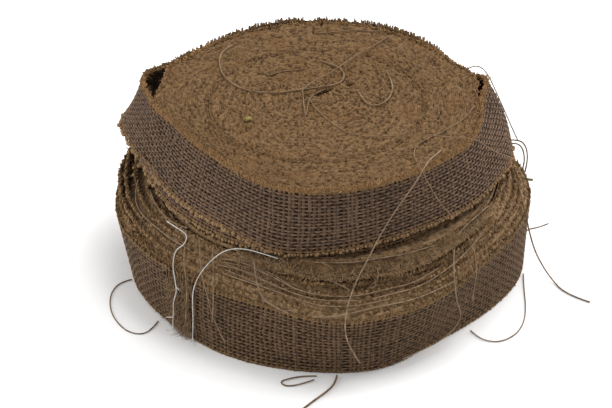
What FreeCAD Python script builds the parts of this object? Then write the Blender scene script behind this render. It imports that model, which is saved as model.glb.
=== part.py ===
import FreeCAD, Part
import math
import os

# Two coreless rolls of jute hessian ribbon, one standing on the other, with the
# loose threads that lie on them. Millimetres, +Z up. The origin is on the floor under
# the middle of the rolls' outer box, and their front is -Y. Places on the rolls are given
# round the lower roll's axis: azimuth in degrees from the front towards +X, radius, height.

DOCUMENT_NAME = "ribbon_rolls"

DIMENSIONS = {
    # where the rolls are wound: the lower roll's axis, and the upper roll's beside it
    "lower_axis_x": 2.6,
    "lower_axis_y": 2.5,
    "upper_offset": -5.5,
    "ribbon_width": 38.0,
    "cloth_thickness": 0.7,
    "turn_pitch": 0.95,
    "core_radius": 2.5,
    # lower roll: the wound pack stands proud of its loose outer turns
    "lower_pack_radius": 88.0,
    "lower_pack_bottom": 19.5,
    "wall_height": 37.6,
    "loose_turn_count": 5.0,
    "loose_turn_height": 37.5,
    "loose_outermost_top": 40.0,
    "loose_top_rise": 3.5,
    # cut end of the lower ribbon, lying on the outer turn
    "tail_gap": 0.35,
    "tail_bottom": 1.3,
    "tail_hinge_azimuth": -73.0,
    "tail_end_azimuth": -41.0,
    # upper roll
    "upper_pack_bottom": 57.8,
    "upper_top": 96.0,
    "upper_core_pack_radius": 55.0,
    "pack_clearance": 0.4,
    # a scrap of leaf on the top face
    "leaf_length": 3.6,
    "leaf_height": 2.3,
    "leaf_azimuth": -68.0,
    "leaf_radius": 43.2,
    "leaf_lift": 0.3,
}

# Outer turn of the lower roll: azimuth, radius at the floor, radius at its top edge.
LOWER_WALL = [
    (-180, 101.0, 107.0), (-150, 101.0, 108.0), (-120, 101.2, 109.0), (-95, 101.2, 109.5),
    (-72, 100.2, 106.5), (-50, 98.8, 101.5), (-30, 100.6, 100.5), (-15, 101.0, 103.0),
    (2, 101.8, 112.0), (16, 101.4, 110.5), (32, 94.0, 106.0), (48, 92.8, 99.5),
    (64, 96.0, 99.0), (80, 101.2, 102.8), (95, 103.2, 106.4), (120, 102.5, 107.0),
    (150, 101.0, 107.0),
]

# Outer turn of the upper roll, round the upper axis: azimuth, radius at its top edge,
# radius at its lower edge, height of its lower edge. It bulges at two places at the back.
UPPER_TURN = [
    (-180, 86.5, 88.0, 60.0), (-150, 84.5, 93.0, 60.5), (-124, 84.4, 104.5, 61.0),
    (-117, 87.5, 108.5, 61.0), (-110, 93.5, 109.5, 61.0), (-104, 93.0, 108.0, 61.0),
    (-97, 87.5, 104.0, 61.0), (-89, 83.2, 99.0, 60.7), (-78, 76.0, 92.0, 60.3),
    (-62, 72.0, 86.5, 60.0), (-45, 72.0, 85.2, 60.0), (-30, 76.0, 86.0, 60.0),
    (-12, 82.0, 86.0, 60.2), (5, 83.2, 84.8, 61.5), (30, 81.8, 85.0, 64.5),
    (50, 83.0, 87.0, 64.0), (70, 85.5, 93.5, 61.5), (88, 84.2, 102.5, 60.0),
    (98, 87.0, 103.5, 60.0), (107, 92.0, 102.0, 60.0), (113, 89.5, 100.0, 60.0),
    (120, 85.4, 97.0, 60.0), (130, 84.8, 94.0, 60.0), (150, 87.5, 90.0, 60.0),
]

# Wound pack of the upper roll, round the upper axis: azimuth, radius on top, radius below.
# Its front left side is flattened towards the top.
UPPER_PACK = [
    (-180, 83.6, 83.0), (-150, 82.0, 83.0), (-120, 82.0, 83.0), (-97, 82.8, 83.0),
    (-89, 81.6, 83.0), (-78, 74.5, 82.6), (-62, 70.5, 82.4), (-45, 70.5, 82.4),
    (-30, 74.5, 82.4), (-12, 80.4, 82.6), (5, 81.6, 82.8), (30, 80.2, 82.6),
    (50, 81.4, 82.8), (70, 83.0, 83.0), (90, 82.6, 83.0), (120, 83.0, 83.0),
    (150, 83.8, 83.0),
]

# Threads that lie on the top face: name, diameter, points as x and y from the lower
# roll's axis and height.
TOP_THREADS = [
    ("top_long_curl", 0.8, [
        (-49.5, 57.5, 97.2), (-53.8, 54.2, 97.0), (-56.2, 45.0, 97.0), (-55.3, 33.0, 97.0),
        (-51.5, 23.0, 97.0), (-45.0, 15.0, 97.0), (-36.3, 10.6, 97.0), (-24.0, 10.4, 97.0),
        (-13.9, 13.4, 97.0), (-3.0, 16.0, 97.0), (7.2, 19.4, 97.0), (9.4, 29.0, 97.0),
        (6.2, 36.2, 97.0), (1.5, 39.4, 97.0), (-3.8, 42.3, 97.2)]),
    ("top_straight_strand", 0.7, [
        (33.0, 68.0, 97.2), (27.6, 61.4, 97.0), (20.8, 51.4, 98.6), (14.2, 40.8, 100.6),
        (8.0, 32.4, 100.8), (2.2, 27.6, 98.8), (-4.2, 19.2, 100.6), (-9.8, 11.8, 100.6),
        (-14.4, 6.6, 98.8), (-18.6, 3.2, 97.2)]),
    ("top_cross_strand", 0.5, [
        (-9.2, 5.2, 97.1), (-7.9, -1.2, 97.0), (-2.5, -11.4, 97.0), (3.5, -21.0, 97.0),
        (10.1, -28.7, 97.0), (18.6, -32.5, 97.0), (28.2, -32.6, 97.2), (36.6, -33.4, 98.2),
        (43.4, -35.8, 99.6)]),
    ("top_right_curl", 0.8, [
        (15.4, 13.1, 97.1), (17.9, 5.2, 97.0), (20.9, -1.6, 97.0), (26.0, -2.6, 97.0),
        (31.2, 3.3, 97.0), (33.9, 13.1, 97.0), (33.0, 24.0, 97.0), (30.6, 32.5, 97.1)]),
    ("rim_back_strand", 0.6, [
        (-5.0, 70.4, 97.1), (1.5, 71.4, 97.0), (8.2, 73.2, 97.0), (15.0, 74.8, 97.0),
        (22.5, 72.8, 97.0), (29.6, 73.0, 97.1)]),
]

# Threads that run over the sides or on the floor: name, diameter, points as azimuth,
# radius, height.
SIDE_THREADS = [
    ("band_right_strand", 0.5, [
        (51.4, 58.4, 100.2), (54.2, 64.7, 100.9), (57.4, 72.2, 100.7), (60.2, 79.6, 100.6),
        (64.0, 84.6, 97.4), (68.5, 86.4, 90.5), (74.5, 88.4, 82.5), (81.0, 92.0, 74.5),
        (87.0, 96.8, 66.5)]),
    ("rim_front_strand", 0.5, [
        (88.0, 75.0, 97.2), (81.0, 72.6, 97.0), (72.0, 68.2, 97.0), (63.5, 64.2, 97.0),
        (55.0, 60.6, 97.0), (47.0, 60.4, 97.0), (40.5, 66.0, 97.4), (37.0, 72.8, 99.4),
        (34.8, 80.6, 99.8), (35.6, 84.2, 93.5), (38.5, 85.0, 84.5), (42.0, 86.0, 75.0),
        (46.0, 88.4, 66.5)]),
    ("long_front_strand", 0.7, [
        (52.0, 73.0, 97.4), (46.0, 75.0, 98.4), (40.0, 78.5, 100.4), (34.5, 83.5, 100.6),
        (30.0, 85.5, 94.5), (25.5, 84.8, 86.3), (20.5, 86.0, 77.5), (16.0, 88.4, 68.5),
        (12.0, 93.5, 61.0), (8.5, 99.0, 54.8), (6.0, 105.8, 49.3), (4.5, 112.6, 44.0),
        (4.0, 117.4, 35.0), (5.5, 117.0, 25.0), (8.0, 115.2, 14.8)]),
    ("right_back_loop", 0.6, [
        (114.0, 78.0, 97.6), (114.0, 82.6, 99.4), (112.0, 86.4, 99.2), (109.5, 89.6, 95.5),
        (106.5, 92.4, 89.0), (103.0, 95.4, 81.0), (100.5, 98.2, 73.0), (98.5, 101.0, 65.5)]),
    ("right_floor_strand", 0.8, [
        (87.0, 97.2, 54.2), (86.0, 101.6, 49.4), (83.5, 105.4, 43.3), (82.5, 107.0, 35.6),
        (84.0, 107.0, 26.5), (87.0, 107.2, 16.5), (87.5, 110.0, 7.0), (84.0, 116.0, 1.4),
        (79.0, 124.0, 0.6), (75.5, 132.5, 0.6), (74.0, 141.0, 0.6)]),
    ("right_floor_loop", 0.6, [
        (83.0, 104.5, 0.6), (76.0, 107.0, 0.6), (68.0, 112.0, 0.6), (61.0, 117.0, 0.6),
        (55.0, 119.0, 0.6), (49.8, 116.5, 0.6), (47.6, 110.0, 0.6), (47.4, 103.5, 0.6),
        (48.5, 97.5, 0.6)]),
    ("front_floor_loop", 0.7, [
        (-3.0, 105.0, 0.6), (-6.5, 105.4, 0.6), (-10.0, 108.5, 0.6), (-12.4, 112.2, 0.6),
        (-10.6, 115.8, 0.6), (-7.0, 113.2, 0.6), (-3.6, 108.2, 0.6)]),
    ("front_floor_strand", 1.0, [
        (2.5, 104.8, 0.8), (2.0, 111.0, 0.8), (0.0, 118.0, 0.8), (-2.5, 124.5, 0.8),
        (-4.5, 131.0, 0.8), (-6.0, 136.5, 0.8)]),
    ("left_floor_loop", 0.6, [
        (-79.0, 105.0, 0.4), (-78.0, 111.0, 0.4), (-75.0, 116.0, 0.4), (-69.5, 121.0, 0.4),
        (-64.0, 123.8, 0.4), (-59.0, 123.8, 0.4), (-56.0, 119.5, 0.4), (-55.5, 112.5, 0.4),
        (-57.5, 106.0, 0.4)]),
    ("white_end_thread_1", 0.5, [
        (-62.0, 94.6, 56.6), (-56.5, 94.2, 57.3), (-52.0, 94.6, 57.2), (-50.2, 97.0, 53.0),
        (-50.6, 100.4, 48.6), (-50.8, 104.4, 44.8), (-49.4, 106.6, 39.4), (-48.5, 105.4, 32.0),
        (-48.6, 104.4, 23.5), (-49.2, 104.0, 15.0), (-50.2, 103.6, 8.5), (-50.6, 103.8, 2.4)]),
    ("white_end_thread_2", 0.5, [
        (-18.0, 89.4, 58.3), (-23.0, 91.2, 58.9), (-28.0, 93.0, 58.6), (-32.5, 95.2, 56.0),
        (-36.5, 98.2, 51.2), (-39.5, 102.6, 46.4), (-41.6, 106.0, 40.6), (-42.3, 105.6, 31.5),
        (-42.4, 104.0, 21.0), (-42.9, 104.2, 11.5), (-43.1, 103.8, 2.6)]),
    ("tail_frayed_weft", 0.7, [
        (-48.0, 97.8, 50.5), (-47.0, 102.0, 46.6), (-46.0, 105.6, 41.4), (-45.2, 105.2, 32.5),
        (-45.3, 103.9, 23.0), (-45.9, 103.6, 14.0)]),
    ("left_hanging_strand_1", 0.7, [
        (-45.0, 91.4, 57.4), (-44.5, 92.8, 53.0), (-42.0, 95.6, 48.3), (-39.6, 100.2, 44.6),
        (-37.4, 104.2, 39.6), (-36.3, 103.8, 31.0), (-35.0, 102.6, 22.8), (-32.5, 102.4, 15.5),
        (-30.0, 102.8, 9.5)]),
    ("left_hanging_strand_2", 0.7, [
        (-38.5, 91.2, 56.8), (-37.5, 95.6, 51.0), (-35.5, 100.2, 45.2), (-34.0, 104.2, 38.6),
        (-34.0, 105.0, 29.5), (-34.4, 104.6, 20.5)]),
    ("right_hanging_strand_1", 0.6, [
        (66.0, 89.8, 58.4), (60.0, 89.4, 59.2), (54.0, 89.5, 59.3), (48.0, 90.2, 58.6),
        (43.5, 92.8, 56.2), (40.0, 98.0, 52.0), (37.6, 103.4, 47.0), (36.2, 107.8, 41.0),
        (37.4, 107.0, 31.0), (40.6, 103.2, 21.5), (41.6, 101.0, 14.5), (39.0, 100.2, 9.2),
        (33.5, 101.4, 7.2), (27.0, 103.8, 7.6), (21.0, 105.2, 6.4)]),
    ("right_hanging_strand_2", 0.5, [
        (49.2, 92.4, 56.0), (48.6, 97.4, 52.4), (47.4, 101.2, 46.5), (46.4, 103.8, 39.6),
        (45.6, 103.2, 31.0), (46.2, 101.6, 22.5)]),
    ("gap_wavy_strand", 0.5, [
        (-4.0, 89.4, 58.4), (1.0, 89.8, 58.8), (7.0, 90.8, 58.9), (13.0, 90.2, 59.1),
        (19.0, 89.8, 58.9), (25.0, 90.8, 58.6), (31.5, 90.8, 58.9), (37.0, 91.2, 58.3)]),
    ("gap_front_strand", 0.5, [
        (-15.5, 93.3, 53.0), (-12.0, 93.9, 53.4), (-8.0, 94.4, 54.3), (-4.0, 95.0, 54.8),
        (0.0, 97.0, 53.8), (3.5, 99.2, 51.8), (6.0, 101.2, 50.1)]),
    ("gap_drop_strand", 0.7, [
        (-23.5, 92.4, 56.8), (-22.0, 96.4, 52.4), (-20.5, 100.0, 47.5), (-18.5, 103.0, 43.2),
        (-14.8, 105.2, 40.6), (-10.5, 108.0, 39.4)]),
    ("ledge_strand", 0.6, [
        (-4.0, 109.6, 39.6), (0.0, 110.6, 40.2), (5.0, 109.9, 41.2), (10.0, 108.4, 42.2),
        (15.0, 107.2, 42.4), (21.0, 106.5, 41.9), (27.0, 105.4, 41.8), (33.0, 103.7, 41.6),
        (39.0, 101.9, 41.1)]),
    ("bundle_strand_1", 0.5, [
        (-33.5, 92.8, 52.8), (-28.0, 92.2, 53.8), (-22.0, 93.2, 52.6), (-15.0, 95.5, 50.3),
        (-9.5, 99.0, 48.3), (-3.0, 102.0, 47.6), (4.0, 103.6, 47.4), (10.0, 103.3, 47.6),
        (16.5, 101.8, 48.2), (23.5, 101.2, 47.9), (29.5, 99.6, 48.7), (34.5, 97.8, 49.6)]),
    ("bundle_strand_2", 0.45, [
        (-32.0, 94.8, 51.4), (-26.0, 95.1, 51.0), (-19.0, 96.8, 49.5), (-12.5, 99.8, 47.7),
        (-6.0, 103.2, 46.6), (1.0, 105.4, 46.0), (8.0, 105.8, 46.2)]),
    ("bundle_strand_3", 0.5, [
        (-33.0, 96.6, 46.8), (-27.0, 96.9, 46.6), (-20.0, 97.8, 46.2), (-14.0, 99.6, 45.6),
        (-8.0, 103.0, 44.7), (-2.0, 106.4, 44.0), (5.0, 107.2, 43.9), (11.0, 106.4, 44.2),
        (17.0, 105.2, 44.4)]),
    ("bundle_strand_4", 0.5, [
        (12.0, 105.2, 46.0), (18.0, 103.6, 46.1), (24.0, 102.8, 45.8), (30.0, 101.2, 46.2),
        (37.0, 98.6, 47.2), (44.0, 96.4, 48.4), (51.0, 94.8, 50.0), (57.0, 94.0, 51.8)]),
    ("left_gap_strand", 0.5, [
        (-77.0, 93.0, 57.2), (-72.0, 93.2, 56.2), (-66.0, 92.9, 55.4), (-60.0, 92.2, 55.4),
        (-55.0, 91.2, 56.4), (-51.5, 90.2, 57.5)]),
    ("left_ledge_strand", 0.5, [
        (-85.0, 97.6, 56.2), (-84.0, 99.0, 51.6), (-79.0, 100.4, 49.4), (-72.5, 99.7, 49.0),
        (-66.0, 97.9, 49.4), (-59.0, 96.4, 49.6), (-52.5, 95.3, 49.5), (-47.0, 94.6, 49.9)]),
]

# Share of the shorter run that a bend may take on each side of its point.
BEND_SHARE = 0.45
UP = FreeCAD.Vector(0, 0, 1)
LOWER_AXIS = FreeCAD.Vector(DIMENSIONS["lower_axis_x"], DIMENSIONS["lower_axis_y"], 0)
UPPER_AXIS = LOWER_AXIS + FreeCAD.Vector(DIMENSIONS["upper_offset"], 0, 0)


def make_sheet(doc):
    """The driving dimensions, one alias a row."""
    sheet = doc.addObject("Spreadsheet::Sheet", "Dimensions")
    for row, (alias, value) in enumerate(DIMENSIONS.items(), start=1):
        sheet.set(f"A{row}", alias)
        sheet.set(f"B{row}", str(value))
        sheet.setAlias(f"B{row}", alias)
    doc.recompute()
    return sheet


def around(azimuth, radius, height, axis=LOWER_AXIS):
    """Point at an azimuth from the front, radius and height, round an axis."""
    angle = math.radians(azimuth)
    return axis + FreeCAD.Vector(radius * math.sin(angle), -radius * math.cos(angle), height)


def edge_curve(stations, closed, axis=LOWER_AXIS):
    """Smooth edge through (azimuth, radius, height) stations, one turn round or an arc."""
    points = [around(azimuth, radius, height, axis) for azimuth, radius, height in stations]
    knots = [float(station[0]) for station in stations]
    if closed:
        knots.append(knots[0] + 360.0)
    curve = Part.BSplineCurve()
    curve.interpolate(Points=points, Parameters=knots, PeriodicFlag=closed)
    return curve.toShape()


def join_faces(faces):
    """Closed solid from faces that meet along their edges."""
    shell = Part.makeShell(faces)
    shell.sewShape()
    solid = Part.makeSolid(shell)
    if solid.Volume < 0:
        solid.reverse()
    return solid


def inset(stations, amount):
    """The same edge, nearer the axis."""
    return [(azimuth, radius - amount, height) for azimuth, radius, height in stations]


def is_level(stations):
    return len({height for _, _, height in stations}) == 1


def turn_of_cloth(bottom, top, thickness, axis=LOWER_AXIS):
    """One closed turn of ribbon between a lower and an upper edge, given on its outside."""
    outer_low, outer_high, inner_low, inner_high = [
        edge_curve(stations, True, axis)
        for stations in (bottom, top, inset(bottom, thickness), inset(top, thickness))]
    faces = [Part.makeRuledSurface(outer_low, outer_high),
             Part.makeRuledSurface(inner_low, inner_high)]
    for stations, outer, inner in ((bottom, outer_low, inner_low), (top, outer_high, inner_high)):
        if is_level(stations):
            rims = [Part.Wire(outer), Part.Wire(inner)]
            faces.append(Part.makeFace(rims, "Part::FaceMakerBullseye"))
        else:
            faces.append(Part.makeRuledSurface(outer, inner))
    return join_faces(faces)


def strip_of_cloth(bottom, top, thickness):
    """An open length of ribbon, such as a cut end, given on its outside."""
    outer_low, outer_high, inner_low, inner_high = [
        edge_curve(stations, False)
        for stations in (bottom, top, inset(bottom, thickness), inset(top, thickness))]
    faces = [Part.makeRuledSurface(outer_low, outer_high),
             Part.makeRuledSurface(inner_low, inner_high),
             Part.makeRuledSurface(outer_low, inner_low),
             Part.makeRuledSurface(outer_high, inner_high)]
    for index in (0, -1):
        low, high = bottom[index], top[index]
        corners = [around(*low), around(*high),
                   around(high[0], high[1] - thickness, high[2]),
                   around(low[0], low[1] - thickness, low[2])]
        faces.append(Part.Face(Part.makePolygon(corners + corners[:1])))
    return join_faces(faces)


def wall_radius(station, height, wall_height):
    """Radius of the lower roll's outer turn at a station of LOWER_WALL and a height."""
    _, low, high = station
    return low + (high - low) * height / wall_height


def add_shape(doc, label, shape):
    piece = doc.addObject("Part::Feature", label)
    piece.Label = label
    piece.Shape = shape
    piece.Placement = FreeCAD.Placement()
    return piece


def strip_profile(inner_radius, outer_radius, pitch, thickness):
    """Plan of a wound strip: half turns about two centres, half a pitch apart."""
    turns = int((outer_radius - inner_radius - thickness) / pitch)
    first = inner_radius + thickness
    origin, beside = FreeCAD.Vector(0, 0, 0), FreeCAD.Vector(pitch / 2, 0, 0)
    arcs = []
    for offset in (0.0, thickness):
        for turn in range(turns):
            radius = first + turn * pitch - offset
            back = Part.Circle(origin, UP, radius)
            front = Part.Circle(beside, UP, radius + pitch / 2)
            arcs.append(Part.ArcOfCircle(back, 0, math.pi))
            arcs.append(Part.ArcOfCircle(front, math.pi, 2 * math.pi))
    for radius in (first, first + turns * pitch):
        arcs.append(Part.LineSegment(FreeCAD.Vector(radius, 0, 0),
                                     FreeCAD.Vector(radius - thickness, 0, 0)))
    return arcs


def add_wound_pack(doc, sheet, label, outer_alias, bottom_alias, axis_x):
    """A pack of tightly wound turns: a spiral strip, padded to the ribbon's width."""
    body = doc.addObject("PartDesign::Body", label)
    body.Label = label
    plane = next(item for item in body.Origin.OriginFeatures if item.Role == "XY_Plane")
    sketch = body.newObject("Sketcher::SketchObject", f"{label}_plan")
    sketch.AttachmentSupport = [(plane, "")]
    sketch.MapMode = "FlatFace"
    sketch.addGeometry(strip_profile(sheet.core_radius, sheet.get(outer_alias),
                                     sheet.turn_pitch, sheet.cloth_thickness), False)
    pad = body.newObject("PartDesign::Pad", f"{label}_width")
    pad.Profile = sketch
    pad.setExpression("Length", "Dimensions.ribbon_width")
    body.Tip = pad
    body.setExpression("Placement.Base.x", axis_x)
    body.setExpression("Placement.Base.y", "Dimensions.lower_axis_y")
    body.setExpression("Placement.Base.z", f"Dimensions.{bottom_alias}")
    return body


def add_upper_outer_pack(doc, sheet):
    """The outer turns of the upper pack, flattened at the front left, round its core."""
    bottom = [(azimuth, low, sheet.upper_pack_bottom) for azimuth, _, low in UPPER_PACK]
    top = [(azimuth, high, sheet.upper_top) for azimuth, high, _ in UPPER_PACK]
    low_edge = edge_curve(bottom, True, UPPER_AXIS)
    high_edge = edge_curve(top, True, UPPER_AXIS)
    outside = join_faces([Part.makeRuledSurface(low_edge, high_edge),
                          Part.Face(Part.Wire(low_edge)), Part.Face(Part.Wire(high_edge))])
    block = add_shape(doc, "upper_pack_outside", outside)
    well = doc.addObject("Part::Cylinder", "upper_pack_well")
    well.setExpression("Radius", "Dimensions.upper_core_pack_radius + Dimensions.pack_clearance")
    well.setExpression("Height", "2 * Dimensions.ribbon_width")
    well.setExpression("Placement.Base.x", "Dimensions.lower_axis_x + Dimensions.upper_offset")
    well.setExpression("Placement.Base.y", "Dimensions.lower_axis_y")
    well.setExpression("Placement.Base.z",
                       "Dimensions.upper_pack_bottom - Dimensions.ribbon_width / 2")
    ring = doc.addObject("Part::Cut", "upper_outer_windings")
    ring.Label = "upper_outer_windings"
    ring.Base = block
    ring.Tool = well
    return ring


def add_upper_outer_turn(doc, sheet):
    """The loose last turn of the upper roll, flared over the lower roll."""
    bottom = [(azimuth, low, height) for azimuth, _, low, height in UPPER_TURN]
    top = [(azimuth, high, sheet.upper_top) for azimuth, high, _, _ in UPPER_TURN]
    shape = turn_of_cloth(bottom, top, sheet.cloth_thickness, UPPER_AXIS)
    return add_shape(doc, "upper_outer_turn", shape)


def add_lower_outer_turn(doc, sheet):
    """The last full turn of the lower roll, which stands on the floor."""
    bottom = [(azimuth, low, 0.0) for azimuth, low, _ in LOWER_WALL]
    top = [(azimuth, high, sheet.wall_height) for azimuth, _, high in LOWER_WALL]
    return add_shape(doc, "lower_outer_turn", turn_of_cloth(bottom, top, sheet.cloth_thickness))


def add_loose_turn(doc, sheet, number):
    """Loose turn, 1 outermost, stepped up between the outer turn and the wound pack."""
    share = number / (sheet.loose_turn_count + 1)
    top_height = sheet.loose_outermost_top + (number - 1) * sheet.loose_top_rise
    edges = []
    for height in (top_height - sheet.loose_turn_height, top_height):
        edge = []
        for station in LOWER_WALL:
            wall = wall_radius(station, height, sheet.wall_height)
            edge.append((station[0], wall - share * (wall - sheet.lower_pack_radius), height))
        edges.append(edge)
    shape = turn_of_cloth(edges[0], edges[1], sheet.cloth_thickness)
    return add_shape(doc, f"lower_loose_turn_{number}", shape)


def add_lower_tail(doc, sheet):
    """The cut end of the lower ribbon, lying on its outer turn, free at the front."""
    proud = sheet.tail_gap + sheet.cloth_thickness
    span = sheet.tail_end_azimuth - sheet.tail_hinge_azimuth
    azimuths = [sheet.tail_hinge_azimuth + span * share / 6 for share in range(7)]
    low_curve = edge_curve([(a, low, 0.0) for a, low, _ in LOWER_WALL], True)
    high_curve = edge_curve([(a, high, 0.0) for a, _, high in LOWER_WALL], True)
    bottom, top = [], []
    top_height = sheet.tail_bottom + sheet.wall_height
    for azimuth in azimuths:
        low, high = [(edge.valueAt(azimuth) - LOWER_AXIS).Length
                     for edge in (low_curve, high_curve)]
        rise = (high - low) / sheet.wall_height
        bottom.append((azimuth, low + rise * sheet.tail_bottom + proud, sheet.tail_bottom))
        top.append((azimuth, low + rise * top_height + proud, top_height))
    return add_shape(doc, "lower_tail", strip_of_cloth(bottom, top, sheet.cloth_thickness))


def add_leaf_scrap(doc):
    """A small scrap of leaf caught on the top face."""
    leaf = doc.addObject("Part::Ellipsoid", "leaf_scrap")
    leaf.Label = "leaf_scrap"
    leaf.setExpression("Radius1", "Dimensions.leaf_height / 2")
    leaf.setExpression("Radius2", "Dimensions.leaf_length / 2")
    leaf.setExpression("Radius3", "Dimensions.leaf_length * 0.4")
    leaf.setExpression("Placement.Base.x", "Dimensions.lower_axis_x"
                       " + Dimensions.leaf_radius * sin(Dimensions.leaf_azimuth * 1deg)")
    leaf.setExpression("Placement.Base.y", "Dimensions.lower_axis_y"
                       " - Dimensions.leaf_radius * cos(Dimensions.leaf_azimuth * 1deg)")
    leaf.setExpression("Placement.Base.z",
                       "Dimensions.upper_top + Dimensions.leaf_height / 2 + Dimensions.leaf_lift")
    return leaf


def thread_shape(name, diameter, points):
    """Round thread along straight runs joined by tangent arcs."""
    edges = []
    radii = []
    start = points[0]
    for before, corner, after in zip(points, points[1:], points[2:]):
        arrive, leave = corner - before, after - corner
        turn = arrive.getAngle(leave)
        reach = BEND_SHARE * min(arrive.Length, leave.Length)
        radius = reach / math.tan(turn / 2)
        radii.append(radius)
        arrive.normalize()
        leave.normalize()
        enter, quit_point = corner - arrive * reach, corner + leave * reach
        to_centre = (leave - arrive).normalize()
        middle = corner + to_centre * (radius / math.cos(turn / 2) - radius)
        edges.append(Part.LineSegment(start, enter).toShape())
        edges.append(Part.Arc(enter, middle, quit_point).toShape())
        start = quit_point
    edges.append(Part.LineSegment(start, points[-1]).toShape())
    path = Part.Wire(edges)
    section = Part.Wire(Part.Circle(points[0], points[1] - points[0], diameter / 2).toShape())
    tube = path.makePipe(Part.Face(section))
    expected = math.pi * diameter ** 2 / 4 * path.Length
    if abs(tube.Volume / expected - 1) > 0.01:
        raise RuntimeError(f"{name}: volume {tube.Volume:.2f}, section x length {expected:.2f}")
    print(f"{name}: diameter {diameter}, length {path.Length:.1f}, "
          f"least radius {min(radii):.1f}, greatest {max(radii):.0f}")
    return tube


def add_threads(doc):
    threads = []
    for name, diameter, places in TOP_THREADS:
        points = [LOWER_AXIS + FreeCAD.Vector(*place) for place in places]
        threads.append(add_shape(doc, name, thread_shape(name, diameter, points)))
    for name, diameter, places in SIDE_THREADS:
        points = [around(*place) for place in places]
        threads.append(add_shape(doc, name, thread_shape(name, diameter, points)))
    return threads


def check(doc, pieces):
    """Stop if anything failed to recompute or has a bad shape."""
    for item in doc.Objects:
        if "Invalid" in item.State or "Error" in item.State:
            raise RuntimeError(f"{item.Label} is {item.State}")
    for piece in pieces:
        if piece.Shape.isNull() or not piece.Shape.isValid():
            raise RuntimeError(f"{piece.Label} has no valid shape")


def main():
    os.makedirs("parts", exist_ok=True)
    doc = FreeCAD.newDocument(DOCUMENT_NAME)
    sheet = make_sheet(doc)
    pieces = [
        add_lower_outer_turn(doc, sheet),
        add_wound_pack(doc, sheet, "lower_windings", "lower_pack_radius", "lower_pack_bottom",
                       "Dimensions.lower_axis_x"),
        add_lower_tail(doc, sheet),
        add_wound_pack(doc, sheet, "upper_core_windings", "upper_core_pack_radius",
                       "upper_pack_bottom",
                       "Dimensions.lower_axis_x + Dimensions.upper_offset"),
        add_upper_outer_pack(doc, sheet),
        add_upper_outer_turn(doc, sheet),
        add_leaf_scrap(doc),
    ]
    for number in range(1, int(sheet.loose_turn_count) + 1):
        pieces.append(add_loose_turn(doc, sheet, number))
    pieces += add_threads(doc)
    doc.recompute()
    check(doc, pieces)
    for piece in pieces:
        piece.Shape.exportStep(f"parts/{piece.Label}.step")
    print(f"{len(pieces)} pieces written")


main()
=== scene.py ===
"""Two coreless rolls of jute hessian ribbon, one standing on the other, with loose threads."""

import math

import bpy
import numpy as np
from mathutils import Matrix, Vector
from mathutils.bvhtree import BVHTree


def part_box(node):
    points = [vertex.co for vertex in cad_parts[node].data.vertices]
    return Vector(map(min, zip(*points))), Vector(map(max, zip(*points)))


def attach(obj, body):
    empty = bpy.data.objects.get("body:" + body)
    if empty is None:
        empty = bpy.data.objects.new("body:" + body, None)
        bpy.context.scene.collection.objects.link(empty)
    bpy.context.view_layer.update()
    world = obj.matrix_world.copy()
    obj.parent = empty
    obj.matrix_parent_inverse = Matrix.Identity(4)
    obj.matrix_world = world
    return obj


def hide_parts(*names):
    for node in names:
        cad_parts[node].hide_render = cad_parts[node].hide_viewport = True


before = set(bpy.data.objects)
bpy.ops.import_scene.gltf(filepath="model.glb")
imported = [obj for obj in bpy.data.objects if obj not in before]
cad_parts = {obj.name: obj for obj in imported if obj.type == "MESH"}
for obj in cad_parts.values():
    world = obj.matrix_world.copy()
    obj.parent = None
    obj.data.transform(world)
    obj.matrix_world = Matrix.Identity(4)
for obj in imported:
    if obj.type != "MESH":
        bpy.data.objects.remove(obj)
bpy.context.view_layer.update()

# Lengths below are in millimetres and become metres where a mesh or a thread is made. Those
# of the camera, the lights, the floor and the materials are in metres. Places are given as
# azimuth in degrees from the front (-Y) towards +X, radius round an axis, and height.
MM = 0.001
LOWER_AXIS = np.array([2.6, 2.5])
UPPER_AXIS = np.array([-2.9, 2.5])
RIBBON_WIDTH = 38.0
WARPS = 18
WEFT_PITCH = 2.54


# ---------------------------------------------------------------- numbers and noise

NOISE_CELLS = 256


def noise(x, y, seed):
    """Smooth value noise, 0 to 1, with one lattice cell a unit."""
    size = NOISE_CELLS
    grid = np.random.default_rng(seed).random((size, size))
    x, y = np.broadcast_arrays(np.asarray(x, float), np.asarray(y, float))
    column, row = np.floor(x).astype(int), np.floor(y).astype(int)
    across, down = x - column, y - row
    across, down = across * across * (3 - 2 * across), down * down * (3 - 2 * down)
    here = grid[column % size, row % size]
    right = grid[(column + 1) % size, row % size]
    below = grid[column % size, (row + 1) % size]
    corner = grid[(column + 1) % size, (row + 1) % size]
    return (here * (1 - across) + right * across) * (1 - down) \
        + (below * (1 - across) + corner * across) * down


def around(azimuth, radius, height, axis=LOWER_AXIS):
    """Points at azimuths, radii and heights round an axis."""
    angle, radius, height = np.broadcast_arrays(np.radians(azimuth), radius, height)
    return np.stack([axis[0] + radius * np.sin(angle), axis[1] - radius * np.cos(angle),
                     height * 1.0], axis=-1)


# ---------------------------------------------------------------- mesh making

def add_object(name, data):
    """Object of some data, linked into the scene."""
    added = bpy.data.objects.new(name, data)
    bpy.context.scene.collection.objects.link(added)
    return added


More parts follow.
